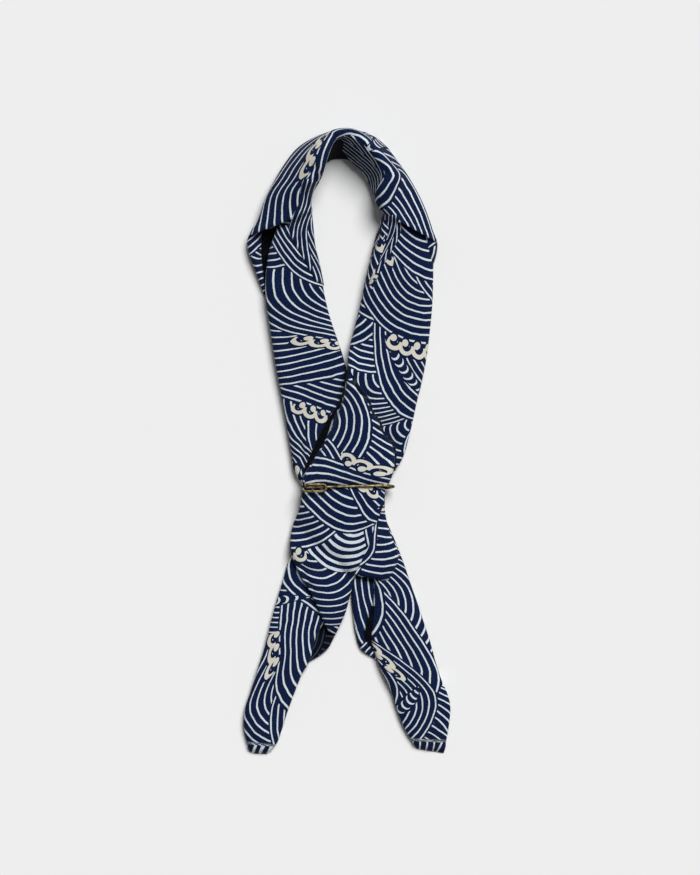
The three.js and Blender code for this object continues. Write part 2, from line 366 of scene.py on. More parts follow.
def section_angles() -> Points:
    """The angles round a section at which its points lie."""
    fine = np.radians(np.linspace(*SECTION_ENDS, SECTION_STEPS))
    x, n = TYPICAL_HALVES[0] * squared(np.cos(fine)), TYPICAL_HALVES[1] * squared(np.sin(fine))
    under = (np.sin(fine) < UNDER_SINE)[1:]
    steps = np.hypot(np.diff(x), np.diff(n)) * np.where(under, BELOW_SHARE, 1)
    run = np.concatenate([[0], np.cumsum(steps)])
    return np.interp(np.linspace(0, run[-1], round(run[-1] / COLUMN_STEP)), run, fine)


@dataclass
class Fold:
    """A length of the band: cloth folded to and fro inside one outer wrap.

    Args:
        name: What it is called in the log.
        rows: Sections along it: the edge on one side (x, y), the edge on the other (x, y), the height of
            the stack, and how far the second edge stands above the first where the band leans.
        prints: Where it lies on the pattern.
        under: Gives the height of what it lies on, for places in plan.
        creases: The folds and dents that are pressed into its top.
        ripple: Its soft unevenness.
        hems: Whether it starts, and ends, in a turned hem.
        turned_tip: Whether its end is closed and shows a corner of the cloth that is turned over.
    """

    name: str
    rows: Path
    prints: Print
    under: Callable[[Points, Points], Points] | None = None
    creases: Sequence[Crease] = ()
    ripple: Undulation = Undulation()
    hems: tuple[bool, bool] = (False, False)
    turned_tip: bool = False
    dense: Points = field(init=False)
    run: Points = field(init=False)
    wide: Points = field(init=False)
    lean: Points = field(init=False)

    def __post_init__(self) -> None:
        """Works out the sections between the stated ones, their widths and how far they lean."""
        rows = np.array(self.rows, float)
        run = (chords(rows[:, :2]) + chords(rows[:, 2:4])) / 2
        self.run = np.linspace(0, run[-1], max(4, round(run[-1] / ROW_STEP)))
        self.dense = curve_through(rows, run, self.run)
        self.dense[:, 5] = np.maximum(self.dense[:, 5], 0)
        high, stand = self.dense[:, 4], self.dense[:, 5]
        across = np.linalg.norm(self.dense[:, 2:4] - self.dense[:, :2], axis=1)
        self.lean = np.zeros(len(high))
        for _ in range(LEAN_PASSES):
            plan = np.maximum(across - high * np.sin(self.lean), 1.0)
            self.lean = np.arctan2(stand, plan)
        self.wide = plan / np.cos(self.lean)
        self.reach_edges()

    def reach_edges(self) -> None:
        """Widens leaning sections until their rounded outlines reach the stated edges in plan."""
        edge, other = self.dense[:, :2].copy(), self.dense[:, 2:4].copy()
        across = np.linalg.norm(other - edge, axis=1)
        way = (other - edge) / across[:, None]
        for _ in range(REACH_PASSES):
            grid, _ = self.section(np.radians(np.arange(0, 360, REACH_ANGLE)))
            reach = ((grid[..., :2] - edge[:, None]) * way[:, None]).sum(axis=2)
            gap, other_gap = reach.min(axis=1), across - reach.max(axis=1)
            self.dense[:, :2] -= way * gap[:, None]
            self.dense[:, 2:4] += way * other_gap[:, None]
            self.wide += (gap + other_gap) * np.cos(self.lean)

    def section(self, angles: Points) -> tuple[Points, Points]:
        """Every section as points in the frame.

        Args:
            angles: The angles round the section.

        Returns:
            The points, in rows and columns, and the same flat in the section's own plane.
        """
        high = self.dense[:, 4]
        x = self.wide[:, None] / 2 * squared(np.cos(angles))[None]
        z = high[:, None] / 2 * (1 + squared(np.sin(angles))[None])
        z = z + SEAM_LIFT * np.clip((np.degrees(angles) - SEAM[0]) / SEAM[1], 0, 1)[None]
        return self.turned(x, z), np.stack([x, z], axis=2)

    def turned(self, x: Points, z: Points) -> Points:
        """Leans sections in their own plane and stands them in their places."""
        out, inner = self.dense[:, :2], self.dense[:, 2:4]
        c, n = np.cos(self.lean)[:, None], np.sin(self.lean)[:, None]
        half = self.wide[:, None] / 2
        plan = (x + half) * c + (self.dense[:, 4:5] - z) * n
        rise = (x + half) * n + z * c
        way = (inner - out) / np.linalg.norm(inner - out, axis=1)[:, None]
        place = out[:, None, :] + way[:, None, :] * plan[:, :, None]
        lift = self.under(place[..., 0], place[..., 1]) if self.under else 0
        return np.concatenate([place, (rise + lift)[:, :, None]], axis=2)

    def skin(self) -> tuple[Patch, list[Hem]]:
        """The outer wrap with its creases, and the stitch lines of its hems."""
        angles = section_angles()
        grid, flat = self.section(angles)
        top = int(np.argmin(np.abs(angles - math.pi / 2)))
        w = run_across(flat, top)
        s = np.repeat(self.run[:, None], grid.shape[1], axis=1)
        lid = np.clip(np.sin(angles) * LID_EDGE, 0, 1)[None]
        rise = self.ripple.height_at(s, w)
        for crease in self.creases:
            rise = rise - crease.depth_at(grid[..., 0], grid[..., 1])
        step = np.zeros(len(self.run))
        for is_hem, far in zip(self.hems, (self.run, self.run[-1] - self.run)):
            if is_hem:
                edge = smooth_fall(far, HEM_WIDTH - HEM_EDGE[0], HEM_WIDTH + HEM_EDGE[1])
                step = np.maximum(step, edge)
        rise = rise * lid + HEM_RISE * step[:, None]
        grid = grid + upward_normals(grid, top) * rise[:, :, None]
        if self.turned_tip:
            for row, share in TIP_FLAT:
                grid[row, :, 2] *= share
            tip = s[-1, 0] - TIP_TURN
            s = np.where(s > tip, tip - TIP_SLOWER * (s - tip) + TIP_SHIFT, s)
        grid[..., 2] = np.maximum(grid[..., 2], LEAST_HEIGHT)
        normals = upward_normals(grid, top)
        hems = []
        for is_hem, index in zip(self.hems, (HEM_ROW, len(grid) - HEM_ROW - 1)):
            if is_hem:
                line = self.between(angles, HEM_ANGLES)
                hems.append(Hem(grid[index, line], normals[index, line]))
        seen = self.between(angles, SHOWN_ANGLES)
        return Patch(grid, s, run_across(grid, top), np.zeros(s.shape), seen), hems

    @staticmethod
    def between(angles: Points, ends: tuple[float, float]) -> Points:
        """Which angles lie between two ends in degrees."""
        return (angles > math.radians(ends[0])) & (angles < math.radians(ends[1]))

    def plies(self) -> list[Patch]:
        """The flat layers inside the wrap, narrower and well below its top."""
        made = []
        few = slice(PLY_INSET, -PLY_INSET, round(PLY_STEP / ROW_STEP))
        x = self.wide[:, None] / 2 * np.linspace(-PLY_SHARE, PLY_SHARE, PLY_POINTS)[None]
        s = np.repeat(self.run[:, None], PLY_POINTS, axis=1)[few]
        for level in np.linspace(*PLY_LEVELS, PLIES):
            grid = self.turned(x, self.dense[:, 4:5] * level)[few]
            made.append(Patch(grid, s, x[few], np.zeros(s.shape), np.zeros(PLY_POINTS, bool)))
        return made

    def height_over(self, x: Points, y: Points, clear: float, droop: float) -> Points:
        """How high something has to lie to pass over this fold.

        Args:
            x: Places in plan.
            y: Places in plan.
            clear: The air between the two.
            droop: How far past the edge the other still hangs, in half widths.

        Returns:
            The height at each place.
        """
        middle = (self.dense[:, :2] + self.dense[:, 2:4]) / 2
        half = np.linalg.norm(self.dense[:, :2] - self.dense[:, 2:4], axis=1) / 2
        flat = np.stack([x.ravel(), y.ravel()], axis=1)
        best = np.zeros(len(flat))
        batch = 8000  # places at a time, to save memory
        for k in range(0, len(flat), batch):
            part = flat[k : k + batch]
            far = np.linalg.norm(part[:, None] - middle[None], axis=2)
            near = np.argmin(far, axis=1)
            share = far[np.arange(len(part)), near] / half[near]
            best[k : k + batch] = (self.dense[near, 4] + clear) * smooth_fall(share, 1, 1 + droop)
        return best.reshape(x.shape)


OVERHANG = 0.6  # how low a layer hangs past a fold's edge, as a share of the fold's height
ABOVE_ALL = 60.0  # higher than any cloth
EVENINGS = 5  # times that a layer's bed is evened out


class Bed:
    """The tops of the folds, as something for a single layer to rest on."""

    def __init__(self, patches: Sequence[Patch]) -> None:
        """Gathers the patches into one tree."""
        places, faces, start = [], [], 0
        for patch in patches:
            places += patch.grid.reshape(-1, 3).tolist()
            faces += (grid_faces(*patch.s.shape) + start).tolist()
            start += patch.s.size
        self.tree = BVHTree.FromPolygons(places, faces)

    def under(self, grid: Points) -> Points:
        """The height of what lies under each point of a grid, evened out along its rows and columns."""
        high = np.zeros(grid.shape[:2])
        for at in np.ndindex(high.shape):
            hit = self.tree.ray_cast(Vector((*grid[at][:2], ABOVE_ALL)), Vector((0, 0, -1)))[0]
            high[at] = hit.z if hit else 0.0
        high = np.maximum(high, OVERHANG * high.max(axis=1, keepdims=True))
        for _ in range(EVENINGS):
            high[1:-1] = (high[:-2] + 2 * high[1:-1] + high[2:]) / 4
            high[:, 1:-1] = (high[:, :-2] + 2 * high[:, 1:-1] + high[:, 2:]) / 4
        return high


LEAST_POINTS = 6  # along or across a single layer
BED_SHARE = 0.9  # how far toward its second edge a layer feels what lies under it
OFF_FLOOR = 0.05  # least air under a layer
LIP_HEM = (2.6, 3.4)  # from the edge, where a single layer's hem steps down
LIP_STITCHES = 2.0  # from the edge to its stitches


@dataclass
class Flap:
    """A single layer of the cloth between two edges.

    Args:
        name: What it is called in the log.
        first: The edge on one side, as x, y, z.
        second: The edge on the other side.
        prints: Where it lies on the pattern.
        arch: How far its middle rises.
        rounds: The radius to which its first edge, second edge, start and end turn down.
        reverse: How far its unprinted side shows, darkened by painted shade: 0 is the printed side.
        hem: Whether its second edge is a turned hem.
        creases: The folds pressed into it.
        rests: How far it lies above the folds under it, where its own heights are not used.
        gather: How many times its own width the cloth in it is wide.
        flat: Whether it lies so flat that its print runs straight across it.
        step: The distance between its points.
    """

    name: str
    first: Path
    second: Path
    prints: Print
    arch: float = 0.0
    rounds: tuple[float, float, float, float] = (0.0, 0.0, 0.0, 0.0)
    reverse: float = 0.0
    hem: bool = False
    creases: Sequence[Crease] = ()
    rests: float = 0.0
    gather: float = 1.0
    flat: bool = False
    step: float = 1.2

    def patch(self, bed: Bed) -> tuple[Patch, list[Hem]]:
        """Its points, and the stitch line of its hem."""
        longest = max(chords(np.array(edge, float))[-1] for edge in (self.first, self.second))
        count = max(LEAST_POINTS, round(longest / self.step))
        a, b = drawn(self.first, count), drawn(self.second, count)
        wide = np.linalg.norm(b - a, axis=1)
        columns = max(LEAST_POINTS, round(wide.max() / self.step))
        even = np.linspace(0, 1, columns)
        t = ((1 - np.cos(math.pi * even)) / 2 + even) / 2  # closer together at the edges
        way = (b - a)[:, None] * t[None, :, None]
        grid = a[:, None] + way
        if self.rests:
            grid[..., 2] = bed.under(a[:, None] + way * BED_SHARE) + self.rests
        s = np.repeat(chords((a + b) / 2)[:, None], columns, axis=1)
        w = wide[:, None] * (t[None] - 0.5)
        cloth = w * self.gather
        rise = self.arch * np.sin(math.pi * t)[None] * np.ones((count, 1))
        edges = (w - w[:, :1], w[:, -1:] - w, s - s[:1], s[-1:] - s)
        for far, radius in zip(edges, self.rounds):
            if radius:
                past = np.clip(radius - far, 0, radius)
                rise = rise - (radius - np.sqrt(np.maximum(radius**2 - past**2, 0)))
        for crease in self.creases:
            rise = rise - crease.depth_at(grid[..., 0], grid[..., 1])
        hems = []
        grid[..., 2] = np.maximum(grid[..., 2] + rise, CLOTH_THICK + OFF_FLOOR)
        if self.hem:
            grid[..., 2] += HEM_RISE * smooth_fall(edges[1], *LIP_HEM)
            normals = upward_normals(grid)
            column = int(np.argmin(np.abs(edges[1].mean(axis=0) - LIP_STITCHES)))
            hems.append(Hem(grid[1:-1, column], normals[1:-1, column]))
        if self.flat:
            along = (a[-1] + b[-1] - a[0] - b[0])[:2]
            along = along / np.linalg.norm(along)
            off = grid[..., :2] - (a[0] + b[0])[:2] / 2
            s, cloth = off @ along, off @ np.array([-along[1], along[0]])
        return Patch(grid, s, cloth, np.full(s.shape, self.reverse), np.ones(columns, bool)), hems


# ---- The bake map -------------------------------------------------------------------------------

BAKE_STRIP = 116.0  # longest strip of a part
BAKE_HIDDEN = 0.14  # how much smaller hidden cloth is laid
BAKE_GAP = 1.2  # between two strips
BAKE_GROWTH = 1.01  # how much larger the square is tried each time


def in_shelves(sizes: Points, side: float) -> Points | None:
    """Sets rectangles in shelves.

    Args:
        sizes: The width and height of each.
        side: The side of the square that holds them.

    Returns:
        The lower left corner of each, or None where they don't fit.
    """
    corners = np.zeros(sizes.shape)
    x = y = shelf = 0.0
    for k in np.argsort(-sizes[:, 1]):
        if x + sizes[k, 0] > side:
            x, y, shelf = 0.0, y + shelf, 0.0
        corners[k] = x, y
        x += sizes[k, 0]
        shelf = max(shelf, sizes[k, 1])
    return corners if y + shelf <= side else None


class BakeMap:
    """A square map in which the parts lie side by side in strips, with most room for what the eye sees."""

    def __init__(self) -> None:
        """Starts with no strips."""
        self.sizes: list[tuple[float, float]] = []
        self.spots: list[Points] = []
        self.strips: list[Points] = []

    def lay(self, patch: Patch, corners: Points) -> None:
        """Cuts a part into strips.

        Args:
            patch: The part.
            corners: Its faces, as indices into its own points.
        """
        columns = patch.s.shape[1]
        share = np.where(patch.shown, 1.0, BAKE_HIDDEN)
        steps = np.linalg.norm(np.diff(patch.grid, axis=0), axis=2).mean(axis=1) * share.max()
        widths = np.linalg.norm(np.diff(patch.grid, axis=1), axis=2).mean(axis=0)
        widths = widths * np.minimum(share[1:], share[:-1])
        along, across = (np.concatenate([[0.0], np.cumsum(run)]) for run in (steps, widths))
        strip = np.floor(along[:-1] / BAKE_STRIP).astype(int)
        first = np.searchsorted(strip, np.arange(strip[-1] + 1))
        last = np.append(first[1:], len(strip))
        row, column = corners // columns, corners % columns
        on = strip[row.min(axis=1)]
        spots = np.stack([along[row] - along[first[on]][:, None], across[column]], axis=-1)
        self.spots.append(spots.reshape(-1, 2))
        self.strips.append(np.repeat(on + len(self.sizes), 4))
        self.sizes += [(long + BAKE_GAP, across[-1] + BAKE_GAP) for long in along[last] - along[first]]

    def places(self) -> Points:
        """Where each corner of each face lies in the map, from 0 to 1."""
        sizes = np.array(self.sizes)
        side = math.sqrt(sizes.prod(axis=1).sum())
        corners = None
        while corners is None:
            side *= BAKE_GROWTH
            corners = in_shelves(sizes, side)
        log.info("bake map: %d strips in a square of %.0f mm", len(sizes), side)
        return (np.concatenate(self.spots) + corners[np.concatenate(self.strips)] + BAKE_GAP / 2) / side


# ---- The bandana --------------------------------------------------------------------------------

CLOTH_THICK = 0.45
CROSSING_FROM, CROSSING_TO = 62.0, 40.0  # the strands come to lie on each other between these y

# Sections: edge (x, y), other edge (x, y), height of the stack, rise of the second edge.
CAP_ROWS = [
    (-55.2, 118.2, -20.9, 131.5, 11.5, 5.0),  # left hem
    (-52.3, 124.0, -20.9, 135.5, 11.8, 6.0),
    (-49.9, 129.5, -21.3, 139.5, 11.8, 7.5),
    (-46.3, 140.0, -20.7, 144.3, 11.2, 10.5),
    (-40.7, 150.5, -15.8, 149.8, 10.5, 14.5),
    (-35.0, 160.0, -13.2, 154.1, 9.6, 18.5),
    (-28.6, 168.2, -10.3, 160.4, 8.6, 21.5),
    (-18.9, 174.7, -7.2, 166.6, 7.2, 24.0),
    (-9.5, 178.0, -5.0, 171.5, 5.8, 25.5),
    (-1.2, 179.0, -2.0, 173.6, 5.0, 26.0),  # crest
    (7.5, 178.0, 2.0, 172.9, 5.0, 26.0),
    (15.0, 175.0, 7.0, 168.8, 5.6, 25.0),
    (22.0, 169.6, 11.0, 163.9, 6.4, 23.5),
    (28.9, 160.4, 15.2, 158.8, 7.6, 20.5),
    (33.6, 154.0, 19.0, 151.5, 8.6, 17.5),
    (38.0, 146.6, 17.6, 145.0, 9.8, 14.0),
    (43.4, 136.0, 16.8, 138.4, 10.8, 10.0),
    (48.0, 124.0, 20.4, 132.0, 11.6, 7.5),
    (50.6, 114.5, 26.5, 127.6, 11.6, 6.5),  # right hem
]
LOWER_ROWS = [
    (-37.0, 147.0, -24.5, 143.5, 8.0, 9.0),
    (-37.5, 134.5, -22.5, 135.0, 9.0, 6.0),
    (-38.2, 126.0, -20.9, 127.5, 9.6, 4.5),
    (-41.4, 118.5, -19.8, 117.5, 10.0, 3.4),
    (-44.4, 109.3, -17.5, 105.8, 10.2, 2.4),
    (-46.1, 96.0, -15.0, 93.7, 10.2, 1.2),
    (-46.3, 82.8, -12.7, 81.6, 10.2, 0.4),
    (-44.9, 72.4, -10.1, 71.3, 10.0, 0.0),
    (-42.8, 58.6, -6.3, 59.8, 9.6, 0.0),
    (-40.8, 45.4, -3.0, 50.2, 9.2, 0.0),
    (-38.2, 31.0, 0.5, 37.0, 8.6, 0.0),
    (-35.0, 13.8, 4.0, 22.0, 8.0, 0.0),
    (-32.2, -3.0, 7.5, 4.0, 7.6, 0.0),
    (-29.3, -18.2, 11.0, -13.5, 7.4, 0.0),
    (-24.2, -25.5, 14.0, -25.5, 7.2, 0.0),  # under the pin
    (-16.5, -43.0, 20.0, -40.5, 6.4, 0.0),
]
RIGHT_TAIL_ROWS = [
    (-16.5, -43.0, 20.0, -40.5, 6.4, 0.0),
    (1.0, -62.0, 28.5, -60.0, 5.4, 0.0),
    (13.0, -73.0, 33.2, -72.5, 5.6, 0.0),
    (16.0, -81.0, 35.8, -80.5, 5.9, 0.0),
    (15.4, -92.0, 39.5, -91.0, 6.3, 0.0),
    (14.8, -103.0, 43.3, -102.5, 6.6, 0.0),
    (14.2, -113.0, 46.8, -113.0, 6.8, 0.0),
    (17.6, -125.0, 50.6, -126.5, 6.8, 0.0),
    (21.6, -134.5, 53.6, -136.0, 6.6, 0.0),
    (25.6, -142.5, 57.2, -144.5, 6.3, 0.0),
    (28.2, -151.0, 58.9, -151.5, 6.0, 0.0),
    (31.6, -160.5, 58.4, -160.5, 5.6, 0.0),
    (36.0, -169.0, 57.0, -169.5, 4.8, 0.0),
    (39.0, -173.3, 55.9, -175.0, 3.8, 0.0),
    (40.9, -175.6, 54.9, -178.3, 2.4, 0.0),  # tip of the right tail
]
UPPER_ROWS = [
    (37.0, 143.0, 20.5, 146.0, 8.0, 9.0),
    (42.5, 135.0, 20.5, 139.5, 9.0, 6.5),
    (46.6, 127.0, 22.2, 131.5, 10.0, 5.2),
    (47.8, 117.5, 20.2, 123.4, 10.4, 4.0),
    (49.0, 103.5, 15.4, 108.6, 10.4, 2.6),
    (48.9, 90.3, 12.1, 97.2, 10.4, 1.4),
    (48.3, 76.5, 8.2, 79.4, 10.2, 0.5),
    (46.9, 61.5, 4.6, 65.0, 9.8, 0.0),
    (44.9, 46.0, 1.4, 51.5, 9.2, 0.0),
    (42.6, 35.0, 0.2, 37.5, 8.6, 0.0),
    (40.2, 25.3, -2.3, 23.8, 8.0, 0.0),
    (35.7, 5.2, -12.1, 1.0, 6.8, 0.0),
    (31.0, -10.3, -19.5, -11.5, 6.2, 0.0),
    (24.8, -19.2, -24.6, -20.6, 5.8, 0.0),
    (21.6, -25.8, -25.0, -26.6, 5.4, 0.0),  # under the pin
    (20.9, -34.0, -26.9, -38.4, 5.4, 0.0),
    (17.9, -43.0, -30.3, -46.5, 5.5, 0.0),
    (14.4, -51.5, -32.2, -55.5, 5.4, 0.0),
    (12.2, -59.0, -32.0, -62.4, 5.2, 0.0),
    (9.0, -66.5, -30.2, -67.8, 5.0, 0.0),
    (5.8, -73.6, -27.8, -73.4, 4.7, 0.0),
    (3.3, -80.0, -24.6, -79.6, 4.4, 0.0),
    (1.9, -86.0, -21.3, -84.8, 4.1, 0.0),
    (0.4, -92.0, -18.3, -90.6, 3.8, 0.0),
    (-1.6, -98.5, -15.4, -97.4, 3.4, 0.0),
    (-4.6, -105.2, -12.7, -103.8, 2.9, 0.0),
    (-7.0, -110.4, -9.6, -109.4, 2.4, 0.0),  # point of the panel
]
LEFT_TAIL_ROWS = [
    (-12.0, -55.0, -27.5, -55.0, 3.6, 0.0),
    (-10.5, -67.0, -33.4, -69.0, 4.6, 0.0),
    (-9.0, -79.0, -36.5, -80.0, 5.4, 0.0),
    (-8.5, -91.0, -40.2, -92.0, 6.0, 0.0),
    (-11.0, -100.0, -42.8, -101.5, 6.4, 0.0),
    (-16.4, -108.0, -44.7, -109.0, 6.6, 0.0),
    (-19.2, -114.5, -46.4, -116.0, 6.8, 0.0),
    (-20.6, -121.0, -48.3, -122.5, 6.8, 0.0),
    (-22.6, -127.0, -50.6, -129.5, 6.8, 0.0),
    (-26.0, -132.5, -52.6, -136.0, 6.7, 0.0),
    (-29.5, -141.0, -55.2, -144.0, 6.5, 0.0),
    (-34.5, -154.5, -58.2, -153.6, 6.0, 0.0),
    (-38.0, -165.5, -59.0, -162.6, 5.3, 0.0),
    (-41.0, -173.2, -57.3, -171.4, 4.3, 0.0),
    (-44.6, -176.9, -55.6, -176.3, 3.2, 0.0),
    (-46.6, -178.6, -54.4, -178.2, 2.2, 0.0),  # tip of the left tail
]

CAP_CREASES = [
    Crease(
        [(-15.0, 149.0), (-12.6, 154.5), (-9.6, 161.0), (-6.6, 167.0), (-3.0, 173.0)], 5.0, 6.0, 6.0, 0.15
    ),
    Crease([(-27.0, 147.0), (-24.5, 138.0), (-22.5, 131.0)], 1.5, 1.6, 2.2),
    Crease([(-23.6, 149.0), (-22.6, 141.0), (-21.4, 133.0)], 1.3, 1.1, 1.6),
    Crease([(-22.0, 158.5), (-17.5, 153.5), (-15.0, 149.5)], 1.1, 1.8, 2.2),
    Crease([(-30.0, 141.0), (-30.5, 134.0), (-29.0, 129.0)], 0.9, 2.4, 2.4),
    Crease([(24.0, 157.0), (24.5, 150.0), (22.0, 142.5)], 1.2, 2.6, 3.4),
    Crease([(34.0, 143.0), (33.0, 135.0), (36.0, 128.0)], 0.9, 3.0, 3.4),
]
LOWER_CREASES = [
    Crease(
        [(0.5, 37.0), (-2.6, 24.0), (-7.6, 12.5), (-12.4, 0.0), (-18.4, -11.0), (-23.4, -20.0)],
        3.2, 3.0, 2.8, 0.12,
    ),
    Crease([(-24.0, 129.0), (-22.6, 120.0), (-18.6, 108.0), (-14.0, 92.0)], 1.7, 1.6, 2.0),
    Crease([(-29.5, 127.5), (-28.4, 119.0), (-23.0, 106.0), (-18.5, 95.0)], 1.4, 1.8, 3.0),
    Crease([(-37.0, 112.0), (-39.5, 100.0), (-37.0, 88.0)], 1.0, 3.4, 3.0),
    Crease([(-30.0, 60.0), (-27.0, 42.0), (-27.5, 24.0)], 0.9, 5.0, 6.0),
    Crease([(-26.5, 4.0), (-25.4, -9.0), (-23.6, -22.0)], 1.9, 1.2, 1.6, 0.4),
    Crease([(-21.0, 2.0), (-20.4, -10.0), (-19.6, -22.5)], 1.6, 1.2, 1.5, 0.4),
    Crease([(-16.2, 4.0), (-16.4, -6.0), (-15.8, -20.0)], 1.2, 1.1, 1.4, 0.4),
]
RIGHT_TAIL_CREASES = [
    Crease([(24.0, -84.0), (30.0, -104.0), (33.0, -124.0)], 0.9, 5.0, 4.0),
    Crease([(33.5, -120.0), (39.0, -142.0), (43.0, -168.0)], 0.8, 4.0, 5.0),
    Crease([(19.5, -101.0), (19.0, -112.0), (23.0, -126.0)], 0.7, 2.0, 3.0),
]
UPPER_CREASES = [
    Crease([(25.4, 128.0), (25.0, 119.0), (21.8, 109.5), (17.0, 98.0)], 0.9, 2.0, 2.6),
    Crease(
        [
            (3.6, 38.5), (9.4, 31.0), (13.6, 24.6), (16.2, 16.0), (20.2, 11.0), (22.0, 5.4), (26.4, 0.4),
            (29.0, -9.0),
        ],
        2.4, 3.0, 2.0, 0.12,
    ),
    Crease([(-26.0, -26.4), (0.0, -25.6), (23.0, -24.8)], 0.9, 2.6, 2.6, 0.1),
    Crease([(3.0, 58.0), (6.5, 46.0), (6.5, 34.0)], 1.0, 2.4, 2.0),
    Crease([(30.0, 78.0), (33.5, 60.0), (31.0, 44.0)], 0.8, 6.0, 6.0),
    Crease([(-24.0, -46.0), (-8.0, -50.0), (8.0, -46.0)], 0.6, 5.0, 5.0),
    Crease([(-29.0, -69.5), (-22.0, -73.0), (-12.0, -74.6), (2.0, -74.8)], 1.3, 1.0, 1.8, 0.12),
    Crease([(-26.5, -71.5), (-22.5, -79.0), (-18.6, -86.0)], 1.0, 1.2, 1.6, 0.25),
]
LEFT_TAIL_CREASES = [
    Crease([(-19.0, -106.0), (-22.0, -114.0), (-24.0, -123.0)], 0.8, 2.0, 2.0),
    Crease([(-44.0, -104.0), (-45.0, -116.0), (-49.0, -130.0)], 0.7, 4.0, 4.0),
    Crease([(-38.0, -128.0), (-43.0, -146.0), (-46.0, -166.0)], 0.8, 4.0, 5.0),
]

